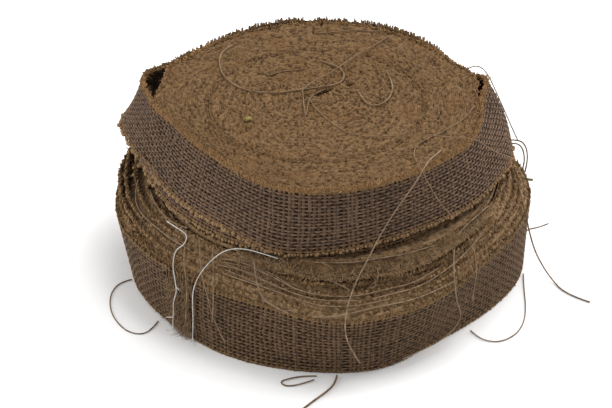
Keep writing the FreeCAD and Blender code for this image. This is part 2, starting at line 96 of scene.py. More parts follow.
def make_piece(name, points, quads, material, body, attributes=None, slot=None):
    """Mesh object from millimetre points and four-sided faces, riding on a body. The slot argument
    is not used."""
    mesh = bpy.data.meshes.new(name)
    points = np.asarray(points, np.float32).reshape(-1, 3) * MM
    quads = np.asarray(quads, np.int32).reshape(-1, 4)
    mesh.vertices.add(len(points))
    mesh.vertices.foreach_set("co", points.ravel())
    mesh.loops.add(quads.size)
    mesh.loops.foreach_set("vertex_index", quads.ravel())
    mesh.polygons.add(len(quads))
    mesh.polygons.foreach_set("loop_start", np.arange(0, quads.size, 4, dtype=np.int32))
    mesh.update(calc_edges=True)
    mesh.polygons.foreach_set("use_smooth", np.ones(len(quads), bool))
    for label, values in (attributes or {}).items():
        layer = mesh.attributes.new(label, "FLOAT", "POINT")
        layer.data.foreach_set("value", np.asarray(values, np.float32).ravel())
    mesh.materials.append(material)
    piece = add_object(name, mesh)
    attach(piece, body)
    return piece


def closed_grid(columns, rows, low=0.0, high=1.0):
    """Angles round a closed grid and values across it, as arrays of its full shape."""
    angle = 2 * np.pi * np.arange(columns)[:, None] / columns
    return np.broadcast_arrays(angle, np.linspace(low, high, rows)[None, :])


def grid_quads(rows, columns, closed=False):
    """Faces of a rows x columns grid of points, whose rows may close on themselves."""
    row = np.arange(rows if closed else rows - 1)[:, None]
    column = np.arange(columns - 1)[None, :]
    after = (row + 1) % rows
    return np.stack([row * columns + column, after * columns + column,
                     after * columns + column + 1, row * columns + column + 1],
                    axis=-1).reshape(-1, 4)


def sweep(paths, facing, half_width, half_height, sides, closed=False):
    """Tubes along paths (count, points, 3). Their flat side faces along facing."""
    paths = np.asarray(paths, float)
    count, length = paths.shape[:2]
    if closed:
        tangent = np.roll(paths, -1, axis=1) - np.roll(paths, 1, axis=1)
    else:
        tangent = np.gradient(paths, axis=1)
    tangent /= np.linalg.norm(tangent, axis=-1, keepdims=True) + 1e-9
    facing = np.broadcast_to(facing, paths.shape)
    out = facing - (facing * tangent).sum(-1, keepdims=True) * tangent
    out /= np.linalg.norm(out, axis=-1, keepdims=True) + 1e-9
    side = np.cross(tangent, out)
    angle = 2 * np.pi * np.arange(sides) / sides
    width = np.broadcast_to(half_width, (count, length))[..., None, None]
    height = np.broadcast_to(half_height, (count, length))[..., None, None]
    points = paths[:, :, None, :] \
        + width * np.cos(angle)[None, None, :, None] * side[:, :, None, :] \
        + height * np.sin(angle)[None, None, :, None] * out[:, :, None, :]
    step = np.arange(length if closed else length - 1)[:, None]
    turn = np.arange(sides)[None, :]
    following, beside = (step + 1) % length, (turn + 1) % sides
    one = np.stack([step * sides + turn, step * sides + beside,
                    following * sides + beside, following * sides + turn], -1).reshape(-1, 4)
    quads = (one[None] + (np.arange(count) * length * sides)[:, None, None]).reshape(-1, 4)
    return points.reshape(-1, 3), quads


def joined(parts):
    """One set of points and faces from several."""
    points = np.concatenate([part[0] for part in parts])
    starts = np.cumsum([0] + [len(part[0]) for part in parts[:-1]])
    return points, np.concatenate([part[1] + start for part, start in zip(parts, starts)])


def shading(tone, gold, sides):
    """Shades of tubes: one value a path point, repeated for each vertex round it."""
    return {"tone": np.repeat(tone.ravel(), sides), "gold": np.repeat(gold.ravel(), sides)}


# ---------------------------------------------------------------- the frame's outlines

def swell(azimuth, middle, half_width):
    """Smooth rise from 0 to 1 and back, round an azimuth."""
    away = (np.asarray(azimuth) - middle + 180.0) % 360.0 - 180.0
    return np.exp(-(away / half_width) ** 2)


# rays towards a roll's axis start this far from it and go this far
RAY_START, RAY_REACH = 160.0, 120.0


class Turn:
    """Outer face of a turn of cloth between its lower and upper edges."""

    def __init__(self, azimuth, low_radius, low_height, high_radius, high_height, axis):
        self.azimuth, self.axis = azimuth, axis
        self.edges = [low_radius, low_height, high_radius, high_height]

    @classmethod
    def read(cls, node, axis):
        """Reads the edges of a ring-shaped node of the frame with rays towards its axis."""
        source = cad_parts[node].data
        tree = BVHTree.FromPolygons([v.co for v in source.vertices],
                                    [p.vertices for p in source.polygons])
        low, high = [corner[2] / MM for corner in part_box(node)]
        azimuths = np.arange(-180.0, 180.0, 2.0)

        def radius(azimuth, height):
            start = Vector(around(azimuth, RAY_START, height, axis) * MM)
            inward = around(azimuth, -1.0, 0.0, np.zeros(2))
            hit = tree.ray_cast(start, Vector(inward), RAY_REACH * MM)[0]
            return None if hit is None else RAY_START - (hit - start).length / MM

        columns = []
        for azimuth in azimuths:
            above, below = (low + high) / 2, low - 1.0
            # halving finds the height at which the rays begin to meet the cloth
            for _ in range(12):
                middle = (above + below) / 2
                if radius(azimuth, middle) is None:
                    below = middle
                else:
                    above = middle
            columns.append((radius(azimuth, above + 0.02), above,
                            radius(azimuth, high - 0.02), high))
        return cls(azimuths, *np.array(columns).T, axis)

    def edge(self, azimuth):
        """Lower radius and height, upper radius and height at azimuths."""
        return [np.interp(azimuth, self.azimuth, values, period=360.0)
                for values in self.edges]

    def point(self, azimuth, share):
        """Point at a share of the way up from the lower edge."""
        low_radius, low, high_radius, high = self.edge(azimuth)
        return around(azimuth, low_radius + (high_radius - low_radius) * share,
                      low + (high - low) * share, self.axis)

    def raised(self, azimuth, share, lift):
        """Point stood off the face along its normal."""
        azimuth, share = np.broadcast_arrays(azimuth, share)
        along = self.point(azimuth + 0.4, share) - self.point(azimuth - 0.4, share)
        up = self.point(azimuth, share + 0.02) - self.point(azimuth, share - 0.02)
        normal = np.cross(along, up)
        normal /= np.linalg.norm(normal, axis=-1, keepdims=True)
        return self.point(azimuth, share) + normal * np.asarray(lift)[..., None], normal

    def stations(self, start, stop):
        """Azimuths of the wefts between two azimuths, an even pitch apart, and the length
        of cloth between them."""
        fine = np.linspace(start, stop, 1441)
        middle = self.point(fine, 0.5)
        run = np.concatenate([[0], np.cumsum(np.linalg.norm(np.diff(middle, axis=0), axis=1))])
        count = max(2, 2 * int(run[-1] / WEFT_PITCH / 2))
        return np.interp(np.linspace(0, run[-1], count + 1)[:-1], run, fine), run[-1]


# ---------------------------------------------------------------- materials

class Nodes:
    """Short names for building a material's node tree."""

    def __init__(self, name):
        self.material = bpy.data.materials.new(name)
        self.material.use_nodes = True
        self.tree = self.material.node_tree
        self.shader = self.tree.nodes["Principled BSDF"]
        self.place = self.add("ShaderNodeTexCoord").outputs["Object"]

    def add(self, kind, inputs=None, **settings):
        node = self.tree.nodes.new(kind)
        for key, value in settings.items():
            setattr(node, key, value)
        self.put(node, inputs or {})
        return node

    def put(self, node, inputs):
        """Sets sockets to values, or links them to other nodes' outputs."""
        for key, item in inputs.items():
            if isinstance(item, bpy.types.NodeSocket):
                self.tree.links.new(item, node.inputs[key])
            else:
                node.inputs[key].default_value = item

    def noise(self, scale, detail=3.0, roughness=0.6):
        inputs = {"Scale": scale, "Detail": detail, "Roughness": roughness, "Vector": self.place}
        return self.add("ShaderNodeTexNoise", inputs).outputs["Fac"]

    def value(self, label):
        return self.add("ShaderNodeAttribute", attribute_name=label).outputs["Fac"]

    def math(self, operation, first, second, clamp=False):
        return self.add("ShaderNodeMath", {0: first, 1: second}, operation=operation,
                        use_clamp=clamp).outputs["Value"]

    def spread(self, item, low, high):
        """Takes low to high on to 0 to 1."""
        inputs = {"Value": item, "From Min": low, "From Max": high}
        return self.add("ShaderNodeMapRange", inputs).outputs["Result"]

    def ramp(self, item, stops):
        node = self.add("ShaderNodeValToRGB", {"Fac": item})
        ramp = node.color_ramp
        while len(ramp.elements) < len(stops):
            ramp.elements.new(0.5)
        for element, (place, colour) in zip(ramp.elements, stops):
            element.position, element.color = place, (*colour, 1)
        return node.outputs["Color"]

    def mix(self, share, first, second):
        node = self.add("ShaderNodeMix", {"Factor": share}, data_type="RGBA")
        colours = [key for key, socket in enumerate(node.inputs) if socket.type == "RGBA"]
        items = [(*item, 1) if isinstance(item, tuple) else item for item in (first, second)]
        self.put(node, dict(zip(colours, items)))
        return [socket for socket in node.outputs if socket.type == "RGBA"][0]

    def bump(self, item, strength, distance):
        node = self.add("ShaderNodeBump",
                        {"Strength": strength, "Distance": distance, "Height": item})
        self.put(self.shader, {"Normal": node.outputs["Normal"]})

    def finish(self, colour, roughness=0.85, sheen=0.0, specular=0.25):
        self.put(self.shader, {
            "Base Color": colour, "Roughness": roughness, "Specular IOR Level": specular,
            "Sheen Weight": sheen, "Sheen Roughness": 0.5, "Sheen Tint": (1.0, 0.88, 0.74, 1)})
        return self.material


def yarn_material(name, dark, light, edge):
    """Spun jute: darker and lighter lengths, painted shade where a yarn dips under a crossing and
    painted highlight where it rides over, and a rusty tinge towards cut edges.
    """
    nodes = Nodes(name)
    speck = nodes.noise(900, detail=4, roughness=0.7)
    patch = nodes.noise(45, detail=2)
    tone = nodes.math("ADD", nodes.value("tone"), nodes.math("MULTIPLY", speck, 0.9))
    tone = nodes.math("ADD", tone, nodes.math("MULTIPLY", patch, 0.5))
    body = nodes.mix(nodes.spread(tone, 0.55, 1.55), dark, light)
    rim = nodes.mix(nodes.spread(speck, 0.3, 0.7), tuple(0.62 * c for c in edge), edge)
    nodes.bump(nodes.noise(2600, detail=2), 0.5, 0.0002)
    return nodes.finish(nodes.mix(nodes.value("gold"), body, rim), sheen=0.03)


def face_material(name, dark, middle, light, rusty):
    """Cut edges of tightly wound turns: felted, mottled, with painted shade in the grooves and
    pits.
    """
    nodes = Nodes(name)
    speck = nodes.noise(620, detail=4, roughness=0.75)
    patch = nodes.noise(38, detail=3)
    tone = nodes.math("ADD", nodes.math("MULTIPLY", nodes.value("tone"), 0.55),
                      nodes.math("MULTIPLY", speck, 0.8))
    body = nodes.ramp(nodes.spread(tone, 0.3, 1.05), [(0.0, dark), (0.5, middle), (1.0, light)])
    warm = nodes.math("MULTIPLY", nodes.spread(patch, 0.5, 0.75), 0.5, clamp=True)
    share = nodes.math("ADD", warm, nodes.value("gold"), clamp=True)
    nodes.bump(nodes.noise(1500, detail=3), 0.6, 0.0003)
    return nodes.finish(nodes.mix(share, body, rusty), roughness=0.95)


def painted_shade_material(name, dark, light):
    """Painted shade, near black: cloth deep between yarns, seen only as a shaded ground."""
    nodes = Nodes(name)
    body = nodes.mix(nodes.spread(nodes.noise(700, detail=3), 0.3, 0.7), dark, light)
    nodes.bump(nodes.noise(1800, detail=2), 0.4, 0.0002)
    return nodes.finish(body, roughness=0.95, specular=0.1)


def thread_material(name, dark, light, sheen=0.0):
    """Spun thread, darker and lighter along its run."""
    nodes = Nodes(name)
    body = nodes.mix(nodes.spread(nodes.noise(260, detail=4), 0.3, 0.7), dark, light)
    nodes.bump(nodes.noise(3000, detail=2), 0.4, 0.0001)
    return nodes.finish(body, roughness=0.8, sheen=sheen)


def leaf_material():
    nodes = Nodes("dry_leaf")
    body = nodes.mix(nodes.spread(nodes.noise(500, detail=3), 0.35, 0.65),
                     (0.16, 0.125, 0.026), (0.27, 0.215, 0.066))
    nodes.bump(nodes.noise(1500), 0.4, 0.0002)
    return nodes.finish(body, roughness=0.6)


def floor_material():
    nodes = Nodes("pale_floor")
    body = nodes.mix(nodes.spread(nodes.noise(3.0), 0.3, 0.7), (0.93, 0.93, 0.925),
                     (0.95, 0.95, 0.945))
    return nodes.finish(body, roughness=0.9, specular=0.1)


UPPER_YARN = yarn_material("upper_yarn", (0.026, 0.015, 0.009), (0.172, 0.104, 0.063),
                           (0.255, 0.140, 0.058))
LOWER_YARN = yarn_material("lower_yarn", (0.026, 0.015, 0.008), (0.164, 0.096, 0.050),
                           (0.240, 0.138, 0.056))
HEM_YARN = yarn_material("hem_yarn", (0.060, 0.036, 0.016), (0.205, 0.130, 0.062),
                         (0.330, 0.200, 0.098))
RIM_YARN = yarn_material("rim_yarn", (0.050, 0.028, 0.012), (0.200, 0.118, 0.055),
                         (0.350, 0.196, 0.078))
PAINTED_SHADE = painted_shade_material("painted_shade_ground", (0.014, 0.008, 0.0045), (0.030, 0.018, 0.010))
UPPER_FACE = face_material("upper_wound_face", (0.030, 0.015, 0.006), (0.104, 0.057, 0.023),
                           (0.232, 0.138, 0.061), (0.152, 0.078, 0.029))
LOWER_FACE = face_material("lower_wound_face", (0.056, 0.031, 0.012), (0.146, 0.087, 0.042),
                           (0.300, 0.196, 0.106), (0.220, 0.118, 0.047))
FUZZ = thread_material("fuzz", (0.150, 0.090, 0.042), (0.360, 0.240, 0.130))
JUTE = thread_material("pale_jute_thread", (0.125, 0.080, 0.046), (0.310, 0.218, 0.138))
# darker brown jute: the real colour of the floor strands and snippets, and painted shade for
# threads that lie in shadow
BROWN_AND_SHADED_JUTE = thread_material("brown_and_shaded_jute_thread", (0.075, 0.044, 0.022), (0.230, 0.145, 0.078))
DRY_JUTE = thread_material("dry_jute_thread", (0.105, 0.063, 0.032), (0.270, 0.178, 0.098))
OLIVE_STEM = thread_material("olive_stem", (0.075, 0.065, 0.024), (0.170, 0.150, 0.055))
COTTON = thread_material("cotton_thread", (0.36, 0.35, 0.33), (0.60, 0.59, 0.56), sheen=0.1)
LEAF = leaf_material()


# ---------------------------------------------------------------- camera, light, floor

VIEW_ELEVATION = 32.7
VIEW_DISTANCE = 2.0
FOCAL_PIXELS = 3861.0
IMAGE_WIDTH = 612.0
SENSOR_WIDTH = 36.0
# the look-at point's place in the picture, from its middle: right and up
AIM = Vector((LOWER_AXIS[0] * MM, LOWER_AXIS[1] * MM, 0.045))
AIM_RIGHT, AIM_UP = 21.0, 15.0


def add_camera():
    data = bpy.data.cameras.new("camera")
    camera = add_object("camera", data)
    elevation = math.radians(VIEW_ELEVATION)
    back = Vector((0, -math.cos(elevation), math.sin(elevation)))
    up = Vector((0, math.sin(elevation), math.cos(elevation)))
    pixel = VIEW_DISTANCE / FOCAL_PIXELS
    camera.location = AIM + back * VIEW_DISTANCE \
        - Vector((AIM_RIGHT * pixel, 0, 0)) - up * AIM_UP * pixel
    camera.rotation_euler = (math.pi / 2 - elevation, 0, 0)
    data.sensor_width = SENSOR_WIDTH
    data.lens = FOCAL_PIXELS / IMAGE_WIDTH * SENSOR_WIDTH
    data.clip_start, data.clip_end = 0.05, 50.0
    bpy.context.scene.camera = camera


def add_light(name, place, size, power):
    """Square soft box aimed at the middle of the rolls."""
    data = bpy.data.lights.new(name, "AREA")
    data.shape, data.size, data.energy = "SQUARE", size, power
    light = add_object(name, data)
    light.location = place
    light.rotation_euler = (AIM - Vector(place)).to_track_quat("-Z", "Y").to_euler()


def add_studio():
    add_light("top_box", (0.5, 0.4, 1.45), 1.3, 20.0)
    add_light("left_box", (-1.5, -0.1, 0.55), 0.9, 10.0)
    add_light("right_box", (1.3, 0.85, 0.62), 0.9, 9.5)
    world = bpy.data.worlds.new("studio")
    world.use_nodes = True
    sky = world.node_tree.nodes["Background"]
    sky.inputs["Color"].default_value = (1, 1, 1, 1)
    sky.inputs["Strength"].default_value = 0.78
    bpy.context.scene.world = world
    bpy.context.scene.view_settings.view_transform = "Standard"
    mesh = bpy.data.meshes.new("floor")
    half = 6.0
    mesh.from_pydata([(-half, -half, 0), (half, -half, 0), (half, half, 0), (-half, half, 0)],
                     [], [(0, 1, 2, 3)])
    mesh.materials.append(floor_material())
    add_object("floor", mesh)


# ---------------------------------------------------------------- threads

def at(azimuth, radius, height):
    """Point of a thread, in metres, from azimuth, radius and height in millimetres."""
    return tuple(float(value) for value in around(azimuth, radius, height) * MM)


def on_top(x, y, height):
    """Point of a thread, in metres, from x and y off the lower axis and height."""
    return ((LOWER_AXIS[0] + x) * MM, (LOWER_AXIS[1] + y) * MM, height * MM)


# Each thread: body, diameter in millimetres, how its points are placed, and its points.
THREADS = {
    "top_long_curl": ("upper_core", 0.8, on_top, [
        (-49.5, 57.5, 97.2), (-53.8, 54.2, 97), (-56.2, 45, 97), (-55.3, 33, 97), (-51.5, 23, 97),
        (-45, 15, 97), (-36.3, 10.6, 97), (-24, 10.4, 97), (-13.9, 13.4, 97), (-3, 16, 97),
        (7.2, 19.4, 97), (9.4, 29, 97), (6.2, 36.2, 97), (1.5, 39.4, 97), (-3.8, 42.3, 97.2)]),
    "top_straight_strand": ("upper_core", 0.7, on_top, [
        (33, 68, 97.2), (27.6, 61.4, 97), (20.8, 51.4, 98.6), (14.2, 40.8, 100.6), (8, 32.4, 100.8),
        (2.2, 27.6, 98.8), (-4.2, 19.2, 100.6), (-9.8, 11.8, 100.6), (-14.4, 6.6, 98.8),
        (-18.6, 3.2, 97.2)]),
    "top_cross_strand": ("upper_core", 0.5, on_top, [
        (-9.2, 5.2, 97.1), (-7.9, -1.2, 97), (-2.5, -11.4, 97), (3.5, -21, 97), (10.1, -28.7, 97),
        (18.6, -32.5, 97), (28.2, -32.6, 97.2), (36.6, -33.4, 98.2), (43.4, -35.8, 99.6)]),
    "top_right_curl": ("upper_core", 0.8, on_top, [
        (15.4, 13.1, 97.1), (17.9, 5.2, 97), (20.9, -1.6, 97), (26, -2.6, 97), (31.2, 3.3, 97),
        (33.9, 13.1, 97), (33, 24, 97), (30.6, 32.5, 97.1)]),
    "rim_back_strand": ("upper_pack", 0.6, on_top, [
        (-5, 70.4, 97.1), (1.5, 71.4, 97), (8.2, 73.2, 97), (15, 74.8, 97), (22.5, 72.8, 97),
        (29.6, 73, 97.1)]),
    "band_right_strand": ("upper_turn", 0.5, at, [
        (51.4, 58.4, 100.2), (54.2, 64.7, 100.9), (57.4, 72.2, 100.7), (60.2, 79.6, 100.6),
        (64, 84.6, 97.4), (68.5, 86.4, 90.5), (74.5, 88.4, 82.5), (81, 92, 74.5),
        (87, 96.8, 66.5)]),
    "rim_front_strand": ("upper_turn", 0.5, at, [
        (88, 75, 97.2), (81, 72.6, 97), (72, 68.2, 97), (63.5, 64.2, 97), (55, 60.6, 97),
        (47, 60.4, 97), (40.5, 66, 97.4), (37, 72.8, 99.4), (34.8, 80.6, 99.8), (35.6, 84.2, 93.5),
        (38.5, 85, 84.5), (42, 86, 75), (46, 88.4, 66.5)]),
    "long_front_strand": ("upper_turn", 0.7, at, [
        (52, 73, 97.4), (46, 75, 98.4), (40, 78.5, 100.4), (34.5, 83.5, 100.6), (30, 85.5, 94.5),
        (25.5, 84.8, 86.3), (20.5, 86, 77.5), (16, 88.4, 68.5), (12, 93.5, 61), (8.5, 99, 54.8),
        (6, 105.8, 49.3), (4.5, 112.6, 44), (4, 117.4, 35), (5.5, 117, 25), (8, 115.2, 14.8)]),
    "right_back_loop": ("upper_turn", 0.6, at, [
        (114, 78, 97.6), (114, 82.6, 99.4), (112, 86.4, 99.2), (109.5, 88.8, 95.5), (106.5, 91, 89),
        (103, 93.8, 81), (100.5, 96.8, 73), (98.5, 100, 65.5)]),
    "right_floor_strand": ("lower_roll", 0.8, at, [
        (87, 97.2, 54.2), (85.6, 99.4, 51.2), (83.4, 101, 46.8), (80.8, 103.8, 39.5),
        (80.6, 105.9, 29.5), (82.6, 109, 15), (82.4, 114.4, 4.8), (80.4, 119.4, 0.9),
        (77.2, 124.6, 0.6), (74.9, 133.5, 0.6), (74, 141, 0.6)]),
    "right_floor_loop": ("lower_roll", 0.6, at, [
        (83, 103.2, 0.6), (76, 105.2, 0.6), (68, 110.4, 0.6), (61, 115.6, 0.6), (55, 118, 0.6),
        (49.8, 115.8, 0.6), (47.6, 110, 0.6), (47.4, 103.5, 0.6), (48.5, 97.5, 0.6)]),
    "front_floor_loop": ("lower_roll", 0.7, at, [
        (-3, 105, 0.6), (-6.5, 105.4, 0.6), (-10, 108.5, 0.6), (-12.4, 112.2, 0.6),
        (-10.6, 115.8, 0.6), (-7, 113.2, 0.6), (-3.6, 108.2, 0.6)]),
    "front_floor_strand": ("lower_roll", 1.0, at, [
        (2.5, 104.8, 0.8), (2, 111, 0.8), (0, 118, 0.8), (-2.5, 124.5, 0.8), (-4.5, 131, 0.8),
        (-6, 136.5, 0.8)]),
    "left_floor_loop": ("lower_roll", 0.6, at, [
        (-80.2, 103, 0.4), (-79.6, 108.4, 0.4), (-76.3, 114.4, 0.4), (-71.6, 118.4, 0.4),
        (-66.4, 121, 0.4), (-61.6, 121.8, 0.4), (-57, 121, 0.4), (-54.2, 116.4, 0.4),
        (-54.8, 109.4, 0.4), (-57.2, 103, 0.4)]),
    "white_end_thread_1": ("lower_end", 0.5, at, [
        (-59.1, 94.6, 56.6), (-55, 94.4, 57.2), (-51.3, 94.5, 58), (-47.4, 95.6, 58.4),
        (-47.2, 98, 54.2), (-49.4, 100.8, 50.6), (-47.6, 105.6, 45.6), (-46.2, 106.4, 38),
        (-46, 105.6, 30), (-48.2, 104.8, 22), (-48.4, 104.4, 14), (-49.2, 104, 7.6),
        (-48.9, 104, 3.2)]),
    "white_end_thread_2": ("lower_end", 0.5, at, [
        (-16.1, 89.4, 58.6), (-21, 90.8, 61), (-27, 93.4, 63.1), (-32, 96, 61), (-35.6, 99, 54.8),
        (-38, 103.4, 47.4), (-39.4, 106.2, 38.6), (-40.1, 105.6, 28), (-40.4, 104.6, 19),
        (-40.8, 104.2, 11), (-41, 104, 4.4)]),
    "tail_frayed_weft": ("lower_end", 0.7, at, [
        (-47, 98.2, 53), (-44.8, 102.4, 49.4), (-42.4, 105.8, 44), (-42.2, 105.2, 34),
        (-43, 104.4, 24), (-43.6, 104, 14)]),
    "left_hanging_strand_1": ("lower_roll", 0.7, at, [
        (-44.4, 92.2, 58.2), (-43, 94, 54), (-40.6, 98, 51.6), (-38.2, 102.4, 48.4),
        (-36.4, 104.4, 42), (-35.2, 103.8, 34), (-34.6, 102.8, 25), (-32.5, 102.4, 16.5),
        (-30, 102.8, 9.5)]),
    "left_hanging_strand_2": ("lower_roll", 0.7, at, [
        (-38.6, 92, 57.6), (-36.9, 95.8, 53.6), (-34.6, 100.6, 48.6), (-33.2, 104.4, 42),
        (-33.2, 104.6, 31), (-33.9, 104, 20.5)]),
    "right_hanging_strand_1": ("lower_roll", 0.6, at, [
        (66, 89.8, 58.4), (60, 89.4, 59.2), (54, 89.5, 59.3), (48, 90.2, 58.6), (43.5, 92.8, 56.2),
        (40, 98, 52), (37.6, 103.4, 47), (36.2, 107.8, 41), (37.4, 107, 31), (40.6, 103.2, 21.5),
        (41.6, 101, 14.5), (39, 100.2, 9.2), (33.5, 101.4, 7.2), (27, 103.8, 7.6),
        (21, 105.2, 6.4)]),
    "right_hanging_strand_2": ("lower_roll", 0.5, at, [
        (49.2, 92.4, 56), (48.6, 97.4, 52.4), (47.4, 101.2, 46.5), (46.4, 103.8, 39.6),
        (45.6, 103.2, 31), (46.2, 101.6, 22.5)]),
    "gap_wavy_strand": ("lower_roll", 0.5, at, [
        (-4, 89.4, 58.4), (1, 89.8, 58.8), (7, 90.8, 58.9), (13, 90.2, 59.1), (19, 89.8, 58.9),
        (25, 90.8, 58.6), (31.5, 90.8, 58.9), (37, 91.2, 58.3)]),
    "gap_front_strand": ("lower_roll", 0.5, at, [
        (-15.5, 93.3, 53), (-12, 93.9, 53.4), (-8, 94.4, 54.3), (-4, 95, 54.8), (0, 97, 53.8),
        (3.5, 99.2, 51.8), (6, 101.2, 50.1)]),
    "gap_drop_strand": ("lower_roll", 0.7, at, [
        (-23.5, 92.4, 56.8), (-22, 96.4, 52.4), (-20.5, 100, 47.5), (-18.5, 103, 43.2),
        (-14.8, 105.2, 40.6), (-10.5, 108, 39.4)]),
    "ledge_strand": ("lower_roll", 0.6, at, [
        (-4, 109.6, 39.6), (0, 110.6, 40.2), (5, 109.9, 41.2), (10, 108.4, 42.2), (15, 107.2, 42.4),
        (21, 106.5, 41.9), (27, 105.4, 41.8), (33, 103.7, 41.6), (39, 101.9, 41.1)]),
    "bundle_strand_1": ("lower_roll", 0.5, at, [
        (-33.5, 92.8, 52.8), (-28, 92.2, 53.8), (-22, 93.2, 52.6), (-15, 95.5, 50.3),
        (-9.5, 99, 48.3), (-3, 102, 47.6), (4, 103.6, 47.4), (10, 103.3, 47.6), (16.5, 101.8, 48.2),
        (23.5, 101.2, 47.9), (29.5, 99.6, 48.7), (34.5, 97.8, 49.6)]),
    "bundle_strand_2": ("lower_roll", 0.45, at, [
        (-32, 94.8, 51.4), (-26, 95.1, 51), (-19, 96.8, 49.5), (-12.5, 99.8, 47.7),
        (-6, 103.2, 46.6), (1, 105.4, 46), (8, 105.8, 46.2)]),
    "bundle_strand_3": ("lower_roll", 0.5, at, [
        (-33, 96.6, 46.8), (-27, 96.9, 46.6), (-20, 97.8, 46.2), (-14, 99.6, 45.6), (-8, 103, 44.7),
        (-2, 106.4, 44), (5, 107.2, 43.9), (11, 106.4, 44.2), (17, 105.2, 44.4)]),
    "bundle_strand_4": ("lower_roll", 0.5, at, [
        (12, 105.2, 46), (18, 103.6, 46.1), (24, 102.8, 45.8), (30, 101.2, 46.2), (37, 98.6, 47.2),
        (44, 96.4, 48.4), (51, 94.8, 50), (57, 94, 51.8)]),
    "left_gap_strand": ("lower_roll", 0.5, at, [
        (-77, 93, 57.2), (-72, 93.2, 56.2), (-66, 92.9, 55.4), (-60, 92.2, 55.4), (-55, 91.2, 56.4),
        (-51.5, 90.2, 57.5)]),
    "left_ledge_strand": ("lower_roll", 0.5, at, [
        (-85, 97.6, 56.2), (-84, 99, 51.6), (-79, 100.4, 49.4), (-72.5, 99.7, 49),
        (-66, 97.9, 49.4), (-59, 96.4, 49.6), (-52.5, 95.3, 49.5), (-47, 94.6, 49.9)]),
}


def add_thread(name, diameter, points, body, material):
    """A free thread along a smooth curve, in place of its solid."""
    curve = bpy.data.curves.new(name + "_line", "CURVE")
    curve.dimensions = "3D"
    spline = curve.splines.new("NURBS")
    spline.points.add(len(points) - 1)
    for control, point in zip(spline.points, points):
        control.co = (*point, 1)
    spline.order_u = 3
    spline.use_endpoint_u = True
    spline.resolution_u = 8
    curve.bevel_depth = diameter * MM / 2
    curve.bevel_resolution = 2
    curve.use_fill_caps = True
    curve.materials.append(material)
    thread = add_object(name + "_line", curve)
    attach(thread, body)
    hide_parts(name)


def smooth_line(points, steps=12):
    """Points along the quadratic curve that these control points draw."""
    points = np.array(points)
    middles = (points[1:-2] + points[2:-1]) / 2
    ends = np.vstack([points[:1], middles, points[-1:]])
    share = np.linspace(0, 1, steps)[:, None]
    line = [start * (1 - share) ** 2 + 2 * corner * share * (1 - share) + stop * share ** 2
            for start, corner, stop in zip(ends, points[1:-1], ends[1:])]
    return np.vstack(line[:1] + [part[1:] for part in line[1:]])


# top_straight and rim_back take the darker brown jute as painted shade, for they lie in shadow; the
# others are brown jute
BROWN_AND_SHADED_THREADS = ("right_floor", "front_floor", "left_floor", "top_straight", "rim_back",
                 "right_back")
DRY_THREADS = ("top_", "left_hanging", "tail_", "rim_front", "band_right")


def add_threads():
    for name, (body, diameter, place, route) in THREADS.items():
        material, slot = JUTE, "jute_thread"
        if name.startswith("white"):
            material, slot = COTTON, "cotton_thread"
        elif name.startswith(BROWN_AND_SHADED_THREADS):
            material = BROWN_AND_SHADED_JUTE
        elif name.startswith(DRY_THREADS):
            material = DRY_JUTE
        add_thread(name, diameter, [place(*point) for point in route], body, material)


